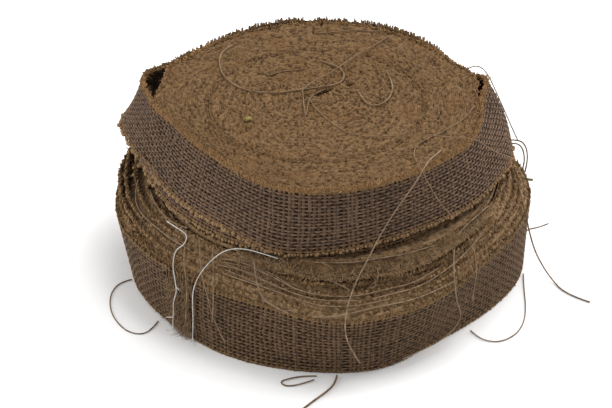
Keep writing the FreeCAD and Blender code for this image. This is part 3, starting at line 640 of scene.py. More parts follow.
# Loose ends too short to be threads of their own: body, diameter, material, and the
# azimuths, radii and heights of each one's points.
SNIPPETS = {
    "gap_snippets": ("lower_roll", 0.42, JUTE, [
        [(-34.4, 93.7, 50.9), (-27.8, 92.8, 52.3), (-21.9, 93.3, 52), (-18.4, 94.2, 51.2)],
        [(-35.7, 95.1, 49.1), (-28.2, 93.8, 50.9), (-20.2, 95.1, 49.9)],
        [(-25.8, 94.8, 49.7), (-17.9, 96.8, 48.2), (-12.1, 99.1, 47)],
        [(-24.9, 92.2, 53.3), (-18.7, 93.1, 52.5), (-13.2, 95.8, 50.2), (-10.5, 98, 48.7)],
        [(-35.7, 93.2, 51.7), (-28.6, 91.4, 54.1), (-21.2, 90.7, 55.4)],
        [(-32.1, 95.6, 48.5), (-25.7, 96.2, 48.2), (-19.5, 97.9, 46.8)],
        [(-15.4, 89.4, 58.9), (-13, 91, 57.2), (-9.4, 91, 57.4), (-8.3, 89.4, 59)],
        [(-1.9, 90.4, 59.1), (1.7, 93, 57.6), (1.2, 95.1, 56.3), (-1.3, 93.5, 57)],
        [(-18.7, 102.3, 41.6), (-14.1, 105.5, 39.9), (-11.2, 107.1, 39.8), (-9.3, 106.8, 41)],
        [(47.1, 95, 48.9), (46.9, 98.1, 45.1), (45.8, 102.1, 40.6)]]),
    "gap_brown_snippets": ("lower_roll", 0.6, BROWN_AND_SHADED_JUTE, [
        [(-31.5, 89.2, 59.6), (-28.8, 91, 57.4), (-27.9, 93.9, 52.6), (-28.6, 97.3, 48)],
        [(-16.1, 90.4, 57.6), (-16.1, 93.2, 54.2), (-17.9, 96.6, 49.9), (-19.1, 98.1, 48)],
        [(13.6, 97.4, 53.4), (14.1, 99.8, 50.8), (12.3, 101.6, 49.2), (12, 100, 50.9),
         (14.3, 98.7, 52)],
        [(78, 97.4, 48.4), (71.5, 96.4, 48.6), (64.5, 95.4, 49)]]),
    "right_stubs": ("lower_roll", 0.7, BROWN_AND_SHADED_JUTE, [
        [(90.2, 103, 18.4), (91.2, 106, 19), (91.2, 110.4, 19.6), (92.9, 116, 19.8)]]),
    "right_olive_stub": ("lower_roll", 1.4, OLIVE_STEM, [
        [(90.9, 100.4, 51.2), (90.4, 102.6, 51), (90, 104.6, 50.7), (90.2, 106.4, 50.4)]]),
    "right_hooks": ("upper_turn", 0.8, BROWN_AND_SHADED_JUTE, [
        [(95.6, 94.6, 69.2), (94.6, 99.8, 70), (93, 102.4, 68.4), (91.8, 103.4, 65),
         (91.2, 103.4, 59.5), (91.6, 102.4, 53.5)],
        [(97, 93.6, 65.8), (95.9, 98.6, 66.8), (94.6, 101, 65.6), (93.4, 102, 63),
         (92.6, 102.2, 57.5), (92.9, 101, 52.6)]]),
    "centre_snippets": ("upper_core", 0.6, DRY_JUTE, [
        [(-140.6, 20, 96.9), (-122.8, 14.8, 97.3), (-95.1, 12.2, 97.1), (-59.8, 13.5, 97.4),
         (-40.3, 17.2, 96.8)],
        [(-174.9, 14.7, 96.4), (-145.3, 11.3, 97.3), (-109.4, 9.7, 97.5), (-67.3, 10.8, 97.3),
         (-44.6, 15.5, 96.8)],
        [(-102.5, 9.6, 97.2), (-116, 7, 97.3), (-115.5, 3, 97.2), (148.9, 0.7, 97),
         (92.1, 2.9, 96.8)]]),
    "sunk_snippet": ("upper_core", 0.6, BROWN_AND_SHADED_JUTE, [
        [(-132.4, 47.3, 96.1), (-133.4, 44.2, 96), (-135.9, 41.6, 96), (-139.9, 41, 96),
         (-144.5, 41, 96), (-149.2, 39.5, 96.1), (-154.2, 38, 96.3), (-160.3, 36.8, 96.6)]]),
    "cotton_knots": ("lower_end", 0.45, COTTON, [
        [(-46.1, 105.9, 33.2), (-45.2, 106.6, 33.8), (-44.2, 107, 33.4)],
        [(-48.4, 104.6, 12), (-49.6, 105.3, 11.4), (-50.9, 105.4, 10)],
        [(-48.9, 104.2, 4), (-49.6, 105.2, 2.6), (-51, 105.6, 2.2)],
        [(-41, 104.2, 5), (-41.8, 105.4, 3), (-43, 105.8, 2.2)],
        [(-41, 104.2, 5), (-40.2, 105.2, 3.2), (-39.4, 105.4, 2.4)]]),
}


def add_snippets():
    for name, (body, diameter, material, lines) in SNIPPETS.items():
        parts = []
        for route in lines:
            line = smooth_line([at(*point) for point in route], 7) / MM
            parts.append(sweep(line[None], (0.2, 0.3, 0.9), diameter / 2, diameter / 2, 6))
        slot = "cotton_thread" if material is COTTON else "jute_thread"
        make_piece(name, *joined(parts), material, body, slot=slot)


# ---------------------------------------------------------------- woven cloth

CLOTH_DEPTH = -0.35


def even_lift(level=CLOTH_DEPTH):
    """Cloth whose middle lies at one level off its turn's face."""
    return lambda azimuth, share: level + 0 * azimuth * share


class Cloth:
    """Plain weave along a turn, from one azimuth to another. Warps run round the roll and
    are counted upwards, wefts run up it. climb raises the cloth in millimetres, and past
    the azimuth fray only its wefts are left."""

    amplitude = 0.25
    warp_half = (0.51, 0.36)
    weft_half = (0.85, 0.40)
    sides = 5
    climb = 0.0
    fray = None

    def __init__(self, name, turn, body, yarn, seed, start=-180.0, stop=180.0, closed=True,
                 first_warp=0, count=WARPS, lift=None):
        self.name, self.turn, self.body = name, turn, body
        self.yarn, self.seed, self.closed = yarn, seed, closed
        self.azimuths, self.length = turn.stations(start, stop)
        self.stop, self.count = stop, count
        self.rows = np.arange(first_warp, count)
        self.lift = lift or even_lift()

    def share(self, row):
        """Height share of a warp."""
        return (np.asarray(row, float) + 0.5) / self.count + self.climb / RIBBON_WIDTH

    def warps(self):
        """Yarns along the ribbon, each going over and under the wefts in turn."""
        number = len(self.azimuths)
        index = np.arange(2 * number) / 2
        azimuth = np.interp(index, np.arange(number + 1),
                            np.append(self.azimuths, self.stop))
        row, place = self.rows[:, None], azimuth[None, :]
        wander = noise(place / 9 + 40, row * 3.7 + self.seed, self.seed) - 0.5
        share = self.share(row + 0.34 * wander)
        sign = np.where(index % 1 == 0, np.cos(np.pi * (index + row)), 0.0)
        lift = self.lift(place, share) - self.amplitude * sign
        points, normal = self.turn.raised(place + 0 * share, share, lift)
        slub = noise(place * 1.9, row * 5.3, self.seed + 1)
        size = 0.78 + 0.44 * slub
        draw = np.random.default_rng(self.seed)
        own = draw.random(len(self.rows))[:, None] * 0.15
        # painted shade and highlight: a warp is painted darker where it dips under a weft and
        # lighter where it rides over one
        tone = 0.32 + own + 0.36 * noise(place * 0.8, row * 7.1, self.seed + 2) - 0.24 * sign
        near = np.minimum(self.count - 1 - row, 99 if self.rows[0] else row)
        gold = np.clip(1.0 - near * 0.62, 0, 1) * (0.35 + 0.5 * slub)
        kept = np.ones(points.shape[:2], bool)
        if self.fray:
            kept = place < self.fray + 2.4 * draw.standard_normal((len(self.rows), 1))
        parts = [sweep(line[None, keep], out[None, keep], self.warp_half[0] * thick[None, keep],
                       self.warp_half[1] * thick[None, keep], self.sides, self.closed)
                 for line, out, thick, keep in zip(points, normal, size, kept)]
        return make_piece(self.name + "_warps", *joined(parts), self.yarn, self.body,
                          shading(tone[kept], gold[kept], self.sides))

    def wefts(self, reach_low=0.6, reach_high=1.1):
        """Yarns across the ribbon, whose ends reach past its edges by up to so much of a
        warp's pitch."""
        number = len(self.azimuths)
        draw = np.random.default_rng(self.seed + 5)
        row = np.arange(self.rows[0], self.count, 0.5)[None, :-1]
        low = -reach_low * draw.random(number)[:, None] / 2.1 - 0.45
        high = reach_high * (0.25 + draw.random(number)[:, None]) / 2.1
        if self.rows[0]:
            low = low * 0
        row = np.concatenate([self.rows[0] + low, row + np.zeros((number, 1)),
                              self.count - 1 + 0.45 + high * 0.5,
                              self.count - 1 + 0.5 + high], axis=1)
        place = self.azimuths[:, None]
        index = np.arange(number)[:, None]
        pitch = np.gradient(self.azimuths)[:, None]
        wander = noise(row / 4 + index * 3.1, index * 0.37, self.seed + 3) - 0.5
        leaning = noise(row / 9, place / 14, self.seed + 4) - 0.5
        place = place + pitch * (0.30 * wander + 0.8 * leaning
                                 + 0.16 * draw.standard_normal((number, 1)))
        whole = np.abs(row - np.round(row)) < 0.01
        sign = np.where(whole, np.cos(np.pi * (index + row)), 0.0)
        past = np.clip(row - (self.count - 1), 0, 3)
        stray = past * (noise(index * 1.7, 0.5, self.seed + 6) - 0.4) * 0.5
        lift = self.lift(place, self.share(row)) + self.amplitude * sign + stray
        loose = np.zeros((number, 1))
        if self.fray:
            loose = np.clip((self.azimuths[:, None] - self.fray) / 3.0, 0, 1)
            place = place + loose * 1.6 * (noise(row / 5 + 9, index * 5.1, self.seed + 8) - 0.5)
            lift = lift + loose * 0.9 * (noise(row / 4 + 9, index * 3.3, self.seed + 9) - 0.3)
        points, normal = self.turn.raised(place, self.share(row), lift)
        slub = noise(row * 0.8, index * 2.3, self.seed + 7)
        size = (0.72 + 0.56 * slub) * (1 - 0.35 * loose)
        size[:, 0] *= 0.45
        size[:, -1] *= 0.35
        verts, quads = sweep(points, normal, self.weft_half[0] * size,
                             self.weft_half[1] * size, self.sides)
        # painted highlight and shade: a weft is painted lighter where it rides over a warp and
        # darker where it dips under one
        tone = draw.random((number, 1)) * 0.16 + 0.44 * slub - 0.16 + 0.13 * sign
        ends = np.maximum(row - (self.count - 1.9), (0.9 - row) if not self.rows[0] else -9)
        gold = np.maximum(np.clip(ends, 0, 1) * (0.35 + 0.6 * slub), 0.35 * loose * slub)
        return make_piece(self.name + "_wefts", verts, quads, self.yarn, self.body,
                          shading(tone, gold, self.sides))

    def ground(self):
        """The plain sheet under the yarns, which stands for the cloth's own fibres, painted near
        black as the shade deep between the yarns.
        """
        depth, columns = -0.15, 9
        azimuth = np.append(self.azimuths, self.stop)
        if self.closed:
            azimuth = azimuth[:-1]
        if self.fray:
            azimuth = azimuth[azimuth < self.fray]
        share = np.linspace(0, 1, columns)[None, :] + self.climb / RIBBON_WIDTH
        place = azimuth[:, None]
        points, _ = self.turn.raised(place + 0 * share, share, self.lift(place, share) + depth)
        quads = grid_quads(len(azimuth), columns, self.closed)
        return make_piece(self.name + "_sheet", points, quads, PAINTED_SHADE, self.body)

    def weave(self, node=None, reach=(0.6, 1.1), folds=()):
        """Sheet and yarns in place of a node, which is hidden."""
        sheet = self.ground()
        if node:
            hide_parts(node)
        yarns = [self.warps(), self.wefts(*reach)]
        length = self.length
        if self.fray:
            length *= (self.fray - self.azimuths[0]) / (self.stop - self.azimuths[0])


# ---------------------------------------------------------------- wound faces

def circle(radius, axis):
    """Closed curve of the angle from +X."""
    return lambda angle: np.stack([axis[0] + radius * np.cos(angle),
                                   axis[1] + radius * np.sin(angle)], -1)


def rim(turn, inset):
    """Upper edge of a turn as a curve of the angle from +X."""
    def curve(angle):
        azimuth = np.degrees(angle) + 90.0
        radius = turn.edge(azimuth)[2] - inset
        return around(azimuth, radius, 0.0, turn.axis)[..., :2]
    return curve


def slit(middle, half_length, half_width, heading):
    """Long narrow opening."""
    along = np.array([math.cos(heading), math.sin(heading)])
    across = np.array([-along[1], along[0]])

    def curve(angle):
        return np.array(middle) + np.cos(angle - heading)[..., None] * half_length * along \
            + np.sin(angle - heading)[..., None] * half_width * across
    return curve


def wound_face(name, inner, outer, rings, height, body, material, seed, up=1.0, samples=3,
               step=1.1, pits=()):
    """Edges of wound turns between two closed curves, as ridges and grooves. Both borders
    turn down into the roll. A pit is x, y, radius and depth."""
    round_trip = np.linspace(0, 6.2, 60)
    spokes = outer(round_trip) - outer(round_trip).mean(0)
    around_count = int(2 * np.pi * np.linalg.norm(spokes, axis=-1).mean() / step)
    angle, share = closed_grid(around_count, rings * samples + 1)
    plan = inner(angle) * (1 - share[..., None]) + outer(angle) * share[..., None]
    x, y = plan[..., 0], plan[..., 1]
    wander = noise(x / 7, y / 7, seed) - 0.5
    turn = share * rings + angle / (2 * np.pi) + 0.55 * wander
    ridge = 0.5 + 0.5 * np.cos(2 * np.pi * turn)
    own = noise(np.floor(turn) * 3.1, 0.5, seed + 1)
    patch = noise(x / 5, y / 5, seed + 2)
    grain = noise(x / 0.9, y / 0.9, seed + 3)
    fine = noise(x / 0.45, y / 0.45, seed + 4)
    pit = np.clip(0.37 - grain * (0.6 + 0.8 * fine), 0, 1)
    rise = 0.36 * ridge * (0.5 + own) + 0.5 * (own - 0.5) + 0.5 * (patch - 0.5) \
        + 0.9 * (grain - 0.5) + 0.5 * (fine - 0.5) - 3.2 * pit
    hollow = sum((depth * np.exp(-((x - px) ** 2 + (y - py) ** 2) / size ** 2)
                  for px, py, size, depth in pits), 0 * x)
    level = (height(share) if callable(height) else height) + up * (rise - hollow)
    points = np.stack([x, y, level], -1)
    # painted shade: tone is darker in the grooves between ridges, in the small pits and in the
    # listed holes; own and grain are the fibres' own mottle
    tone = 0.30 * ridge + 0.25 * own + 0.75 * grain - 1.2 * pit - 0.35 * hollow
    gold = np.clip(noise(x / 11, y / 11, seed + 5) * 1.6 - 1.05, 0, 0.5)
    turned_down = np.array([0, 0, 1.9 * up])
    points = np.concatenate([points[:, :1] - turned_down, points,
                             points[:, -1:] - turned_down], axis=1)
    tone, gold = [np.concatenate([values[:, :1], values, values[:, -1:]], axis=1)
                  for values in (tone, gold)]
    quads = grid_quads(around_count, points.shape[1], closed=True)
    if up < 0:
        quads = quads[:, ::-1]
    return make_piece(name, points, quads, material, body, {"tone": tone, "gold": gold})


def wound_well(name, opening, top, depth, body, material, seed):
    """Ragged walls and floor of an opening in a wound face."""
    columns, levels = 64, 9
    angle, share = closed_grid(columns, levels)
    edge = opening(angle)
    middle = edge.mean(axis=(0, 1))
    plan = middle + (edge - middle) * (1.25 - 1.1 * share[..., None] ** 3)
    level = top - depth * share + 0.8 * (noise(plan[..., 0], share * 9, seed) - 0.5)
    points = np.concatenate([plan, level[..., None]], -1)
    return make_piece(name, points, grid_quads(columns, levels, True), material, body)


# ---------------------------------------------------------------- tufts and hairs

HAIR_LENGTH = 2.2


def unit(vectors):
    return vectors / (np.linalg.norm(vectors, axis=-1, keepdims=True) + 1e-9)


def tufts(name, roots, direction, length, radius, material, body, seed, lean=0.45, points=4,
          sides=4, gold=(0.5, 1.0), taper=0.55, curl=0.35):
    """Short stubs or hairs of fibre that start at roots, each leaning its own way."""
    draw = np.random.default_rng(seed)
    count = len(roots)
    way = unit(unit(direction) + lean * draw.standard_normal((count, 3)))
    bend = np.cross(way, draw.standard_normal((count, 3))) * curl
    length = np.broadcast_to(length, count) * (0.6 + 0.8 * draw.random(count))
    step = np.linspace(0, 1, points)
    paths = roots[:, None] + length[:, None, None] * (
        way[:, None] * step[None, :, None] + bend[:, None] * step[None, :, None] ** 2)
    size = radius * (0.7 + 0.6 * draw.random((count, 1))) * (1 - taper * step[None, :] ** 1.5)
    # a fibre at the foot lies along the floor
    paths[..., 2] = np.maximum(paths[..., 2], size + 0.05)
    verts, quads = sweep(paths, np.array([0.3, 0.2, 0.93]), size, size, sides)
    tone = draw.random((count, 1)) * 0.9 + 0.1 * step[None]
    shade = gold[0] + (gold[1] - gold[0]) * draw.random((count, 1)) + 0 * step[None]
    return make_piece(name, verts, quads, material, body, shading(tone, shade, sides))


def edge_way(upper):
    """Straight up from an upper edge, straight down from a lower one."""
    return np.array([0, 0, 1.0 if upper else -1.0])


def edge_beads(name, turn, upper, body, seed, count, material, radius, start=-180.0,
               stop=180.0, drop=0.4, lift=0.0):
    """Rounded yarn ends along a turn's cut edge."""
    draw = np.random.default_rng(seed)
    azimuth = start + (stop - start) * (np.arange(count) + 0.6 * draw.random(count)) / count
    share = drop * (1 + 0.5 * draw.standard_normal(count)) / RIBBON_WIDTH
    share = 1 - share if upper else share
    base = lift(azimuth, share) if callable(lift) else lift
    roots, normal = turn.raised(azimuth, share, base - 0.2 + 0.4 * draw.random(count))
    heading = unit(edge_way(upper) + 0.2 * normal + 0.35 * draw.standard_normal((count, 3)))
    size = radius * (0.6 + 0.7 * draw.random((count, 1)))
    sides = 6
    step = np.linspace(0, 1, 6)
    paths = roots[:, None] + heading[:, None] * (size * 2.3 * step)[..., None]
    round_end = size * np.sqrt(np.clip(1.02 - (2 * step - 1) ** 2, 0.02, 1))
    points, quads = sweep(paths, normal[:, None], round_end, round_end, sides)
    tone = 0.2 + 0.7 * draw.random((count, 1)) + 0 * step
    gold = 0.45 + 0.55 * draw.random((count, 1)) + 0 * step
    return make_piece(name, points, quads, material, body, shading(tone, gold, sides))


def edge_tufts(name, turn, upper, body, seed, count, material, length=1.7, radius=0.42,
               lean=0.5, inward=0.3, drop=0.15, start=-180.0, stop=180.0, depth=1.1,
               lift=None, gaps=0.0, **looks):
    """The fuzzy roll along a turn's cut edge: yarn ends standing out every way."""
    draw = np.random.default_rng(seed)
    azimuth = start + (stop - start) * (np.arange(count) + draw.random(count)) / count
    azimuth = azimuth[noise(azimuth / 1.7 + 400, 0.5, seed + 2) >= gaps]
    count = len(azimuth)
    share = drop / RIBBON_WIDTH * (0.2 + 2.2 * draw.random(count))
    share = 1.0 - share if upper else share
    base = lift(azimuth, share) if lift else CLOTH_DEPTH
    roots, normal = turn.raised(azimuth, share, base + depth * (draw.random(count) - 0.5))
    return tufts(name, roots, edge_way(upper) * 0.8 - normal * inward, length, radius,
                 material, body, seed + 1, lean, **looks)


def face_hairs(name, field, count, body, seed, radius=0.09, lift=0.3):
    """Fine loose fibres lying on a wound face. field gives the place of each root."""
    draw = np.random.default_rng(seed)
    roots = field(draw, count)
    heading = 2 * np.pi * draw.random(count)
    way = np.stack([np.cos(heading), np.sin(heading), lift * draw.random(count)], -1)
    return tufts(name, roots, way, HAIR_LENGTH, radius, FUZZ, body, seed + 1, lean=0.15,
                 points=5, sides=3, taper=0.4, curl=0.6)


# ---------------------------------------------------------------- the lower roll

LOWER = Turn.read("lower_outer_turn", LOWER_AXIS)
LOOSE = [Turn.read(f"lower_loose_turn_{number}", LOWER_AXIS) for number in range(1, 6)]
UPPER = Turn.read("upper_outer_turn", UPPER_AXIS)
PACK = Turn.read("upper_outer_windings", UPPER_AXIS)
# the strip of the flared turn that its raised hem bares at the left
FOLD = Turn(UPPER.azimuth, *UPPER.edges, UPPER_AXIS)
FOLD_START, FOLD_STOP = -84.0, -14.0
FOLD_HEIGHT, FOLD_WARPS = 9.0, 5
# how far the hem rides up and is drawn in at the left, and its rise at the right as a share
HEM_RISE, HEM_DRAWN_IN = 8.2, 4.4
RIGHT_RISE = 0.55
TAIL_START, TAIL_STOP = -73.0, -41.0
TAIL_FRAY = -51.0
# the cut end stands off the wall and above its edge by this much
TAIL_PROUD, TAIL_CLIMB = 1.05, 1.3
LOWER_PACK_RADIUS = 88.0
LOWER_PACK_FOOT, LOWER_PACK_TOP = 19.5, 57.5
UPPER_FOOT = 58.0
UPPER_CORE_RADIUS = 55.0
UPPER_TOP = 96.0


def settle_upper_turn():
    """At both sides the flared turn's hem rides up and is drawn in, which bares a fold of
    cloth at the left. The rim dips at the right back, and the pack's edge leans out into
    the two bulges."""
    azimuth = UPPER.azimuth
    rise = np.interp(azimuth, [-121.0, -107.0, -38.0, -8.0], [0.0, 1.0, 1.0, 0.0])
    rise = rise * rise * (3 - 2 * rise) + RIGHT_RISE * swell(azimuth, 84.0, 16.0)
    low_radius, low_height, high_radius, high_height = UPPER.edges
    flare = (low_radius - high_radius) / (high_height - low_height)
    drawn_in = HEM_DRAWN_IN * swell(azimuth, -86.0, 20.0) + 1.5 * swell(azimuth, 84.0, 16.0)
    high_height = high_height - 5.0 * swell(azimuth, 118.0, 8.0)
    UPPER.edges = [low_radius - 0.35 * flare * HEM_RISE * rise - drawn_in,
                   low_height + HEM_RISE * rise, high_radius, high_height]
    share = FOLD_HEIGHT / RIBBON_WIDTH
    tucked = np.interp(azimuth, [-83.0, -64.0], [1.0, 0.0])
    FOLD.edges = [low_radius - 1.3 - 2.5 * tucked, low_height + 1.2 + 6.5 * tucked,
                  low_radius - share * (low_radius - high_radius) - 1.6,
                  low_height + FOLD_HEIGHT + 2.0 * tucked]
    leaning = PACK.edges[2] + 12.5 * swell(azimuth, -131.0, 13.0) \
        + 4.0 * swell(azimuth, 109.0, 9.0)
    PACK.edges[2] = np.maximum(PACK.edges[2], np.minimum(leaning, high_radius - 2.0))


def wall_lift(azimuth, share):
    """The outer turn comes out over its own start to where the cut end lies on it."""
    away = np.clip((azimuth - (TAIL_START + 360.0 - 45.0)) / 45.0, 0, 1)
    return CLOTH_DEPTH + TAIL_PROUD * away * away * (3 - 2 * away) + 0 * share


def make_lower_wall():
    wall = Cloth("lower_wall", LOWER, "lower_roll", LOWER_YARN, 11,
                 TAIL_START, TAIL_START + 360.0, closed=False, lift=wall_lift)
    wall.weave("lower_outer_turn")
    edge_tufts("lower_wall_top_edge", LOWER, True, "lower_roll", 21,
               count=1500, length=1.5, radius=0.42, material=LOWER_YARN)
    edge_tufts("lower_wall_foot_edge", LOWER, False, "lower_roll", 22,
               count=700, length=0.7, radius=0.32, drop=0.9, material=LOWER_YARN,
               gold=(0.1, 0.6))


def make_tail():
    end = Cloth("lower_end", LOWER, "lower_end", LOWER_YARN, 12,
                TAIL_START, TAIL_STOP, closed=False,
                lift=even_lift(TAIL_PROUD + CLOTH_DEPTH))
    end.climb, end.fray = TAIL_CLIMB, TAIL_FRAY
    end.weave("lower_tail")
    edge_tufts("lower_end_top_edge", LOWER, True, "lower_end", 23, count=150,
               start=TAIL_START, stop=TAIL_STOP, depth=1.0, drop=-1.2, material=LOWER_YARN)
    draw = np.random.default_rng(24)
    fibres, bristles = 420, 90
    azimuth = TAIL_FRAY - 2.0 + 10.0 * draw.random(fibres)
    share = 0.06 + 0.94 * draw.random(fibres)
    roots, normal = LOWER.raised(azimuth, share, TAIL_PROUD - 0.3)
    tufts("lower_end_frayed_fibres", roots, normal * 0.3 - [0, 0, 0.8], 4.2, 0.13, FUZZ,
          "lower_end", 25, lean=0.45, points=6, sides=3, curl=0.5)
    azimuth = TAIL_FRAY + 8.0 * draw.random(bristles)
    roots, normal = LOWER.raised(azimuth, 0.11, TAIL_PROUD - 0.3)
    tufts("lower_end_bristles", roots, normal * 0.5 - [0, 0, 0.9], 3.0, 0.16, JUTE,
          "lower_end", 26, lean=0.3, points=4, sides=4, curl=0.2)


# how far each loose turn leans out and rises at the left, from the outermost inwards
LEAN = (3.0, 6.0, 7.0, 4.5, 2.0)
RISE = (6.0, 5.5, 4.5, 3.0, 1.0)


def make_loose_turns():
    """Only the upper rows show, leaning outwards at the left."""
    for number, turn in enumerate(LOOSE, 1):
        name = f"loose_turn_{number}"
        turn.edges[3] = turn.edges[3] + RISE[number - 1] * swell(turn.azimuth, -114.0, 24.0)

        def lift(azimuth, share, number=number):
            lean = LEAN[number - 1] * swell(azimuth, -105.0, 28.0)
            wave = 1.5 * (noise(azimuth / 11 + 40, number * 3.3, 30) - 0.5)
            return CLOTH_DEPTH + (lean + wave) * np.clip(share, 0, 1) ** 3

        cloth = Cloth(name, turn, "lower_roll", LOWER_YARN, 30 + number,
                      first_warp=WARPS - 4, lift=lift)
        cloth.weave(f"lower_loose_turn_{number}")
        edge_tufts(name + "_edge", turn, True, "lower_roll", 40 + number,
                   count=1300, length=1.7, radius=0.44, material=LOWER_YARN, lift=lift)
        edge_beads(name + "_beads", turn, True, "lower_roll", 45 + number,
                   count=260, radius=0.72, drop=0.5, material=HEM_YARN, lift=lift)


def stack_height(share):
    """Level of the many turns between the wall and the pack, stepping up inwards."""
    return 55.0 - 17.0 * share


def make_stack():
    wound_face("lower_stack", circle(LOWER_PACK_RADIUS + 0.6, LOWER_AXIS), rim(LOWER, 1.2),
               14, stack_height, "lower_roll", LOWER_FACE, 51, step=1.2)


# a folded ledge's outer edge: azimuth, radius, height
LEDGE = [(-30, 89.2, 57.2), (-18, 91.5, 56.4), (-6, 96.0, 54.6), (4, 97.4, 54.2),
         (12, 96.6, 54.4), (20, 97.2, 54.0), (28, 96.4, 54.6), (38, 94.2, 55.6),
         (50, 92.0, 56.6), (66, 89.6, 57.2)]
LEDGE_START, LEDGE_STOP = LEDGE[0][0], LEDGE[-1][0]
LEDGE_TOP = 58.0
LEDGE_INNER = LOWER_PACK_RADIUS + 0.4


def ledge_edge(azimuth):
    """Radius and height of the ledge's outer edge."""
    places, radii, heights = np.array(LEDGE).T
    return np.interp(azimuth, places, radii), np.interp(azimuth, places, heights)


def make_ledge():
    """The top edge of a loose turn, folded over outwards at the front."""
    columns, rows = 260, 40
    azimuth = np.linspace(LEDGE_START, LEDGE_STOP, columns)[:, None]
    outer, low = ledge_edge(azimuth)
    outer = outer + 1.4 * (noise(azimuth / 3.0 + 30, 0.5, 53) - 0.5) \
        + 1.8 * (noise(azimuth / 8.0 + 30, 5.5, 53) - 0.5)
    share = np.linspace(0, 1.22, rows)[None, :]
    out, curl = np.clip(share, 0, 1), np.clip(share - 1, 0, 1)
    radius = LEDGE_INNER + (outer - LEDGE_INNER) * np.sin(out * np.pi / 2) - 4.0 * curl
    level = LEDGE_TOP - (LEDGE_TOP - low) * out ** 2 - 7.5 * curl
    x, y = radius * np.sin(np.radians(azimuth)), -radius * np.cos(np.radians(azimuth))
    grain = noise(x / 0.8 + 90, y / 0.8 + 150, 54)
    patch = noise(x / 4 + 40, y / 4 + 60, 55)
    level = level + 0.8 * (grain - 0.5) + 1.2 * (patch - 0.5)
    points = around(azimuth + 0 * share, radius, level)
    tone = -0.35 + 0.6 * grain + 0.4 * (patch - 0.5) + 0.6 * np.clip(share - 0.75, 0, 1)
    gold = np.clip(-0.55 + 1.6 * np.clip(share - 0.55, 0, 1) + 0.3 * patch, 0, 1)
    make_piece("lower_ledge", points, grid_quads(columns, rows), LOWER_FACE, "lower_roll",
               {"tone": tone, "gold": gold})


def make_ledge_edge():
    """Yarn ends along the ledge's outer edge."""
    draw, count = np.random.default_rng(56), 900
    azimuth = LEDGE_START + (LEDGE_STOP - LEDGE_START) * draw.random(count)
    radius, height = ledge_edge(azimuth)
    radius = radius + 0.6 * draw.random(count) - 0.5
    height = height + 0.9 * draw.random(count) - 0.5
    outward = around(azimuth, 1.0, 0.0, np.zeros(2))
    tufts("lower_ledge_edge", around(azimuth, radius, height), outward - [0, 0, 0.5], 1.5,
          0.42, HEM_YARN, "lower_roll", 57)


def on_ledge(draw, count):
    """Places of hairs on the ledge, clear of the pack, which slides."""
    azimuth = LEDGE_START + (LEDGE_STOP - LEDGE_START) * draw.random(count)
    out = 0.65 + 0.35 * draw.random(count)
    edge, low = ledge_edge(azimuth)
    edge = np.maximum(edge, LEDGE_INNER + 4.0)
    return around(azimuth, LEDGE_INNER + (edge - LEDGE_INNER) * np.sin(out * np.pi / 2),
                  LEDGE_TOP + 0.2 - (LEDGE_TOP - low) * out ** 2)


def round_turn(radius, low, high, axis):
    """A turn of even radius."""
    azimuth = np.arange(-180.0, 180.0, 5.0)
    ones = np.ones(len(azimuth))
    return Turn(azimuth, radius * ones, low * ones, radius * ones, high * ones, axis)


def make_pack_side(name, turn, body, yarn, seed, lift):
    """The last woven turn of a pack, or the first round its hole."""
    Cloth(name, turn, body, yarn, seed, lift=even_lift(lift)).weave()


def make_lower_pack():
    """Top and foot of the tight pack, and its last woven turn."""
    wound_face("lower_windings_top", circle(2.6, LOWER_AXIS),
               circle(LOWER_PACK_RADIUS - 0.4, LOWER_AXIS), 88,
               LOWER_PACK_TOP - 0.3, "lower_pack", LOWER_FACE, 52,
               samples=2, step=1.3)
    wound_face("lower_windings_foot", circle(2.6, LOWER_AXIS),
               circle(LOWER_PACK_RADIUS - 0.4, LOWER_AXIS), 88,
               LOWER_PACK_FOOT + 0.3, "lower_pack", LOWER_FACE, 59, up=-1.0,
               samples=2, step=2.2)
    make_pack_side("lower_windings_side",
                   round_turn(LOWER_PACK_RADIUS, LOWER_PACK_FOOT, LOWER_PACK_TOP, LOWER_AXIS),
                   "lower_pack", LOWER_YARN, 90, -0.8)


# ---------------------------------------------------------------- the upper roll

def band_lift(azimuth, share):
    """The flared turn bellies out at the right and is drawn in at the left."""
    belly = 3.4 * swell(azimuth, 97.0, 20.0) - 1.2 * swell(azimuth, -113.0, 14.0)
    return CLOTH_DEPTH + belly * np.sin(np.pi * np.clip(share, 0, 1))


def make_fold():
    """Folded strip of the flared turn under its hem, at the front left."""
    fold = Cloth("upper_band_fold", FOLD, "upper_turn", UPPER_YARN, 68, FOLD_START, FOLD_STOP,
                 closed=False, count=FOLD_WARPS)
    edge_beads("upper_band_fold_hem", FOLD, False, "upper_turn", 66, count=76,
               start=FOLD_START, stop=FOLD_STOP, lift=-0.3, radius=0.92, material=HEM_YARN)
    return [fold.ground(), fold.warps(), fold.wefts()]


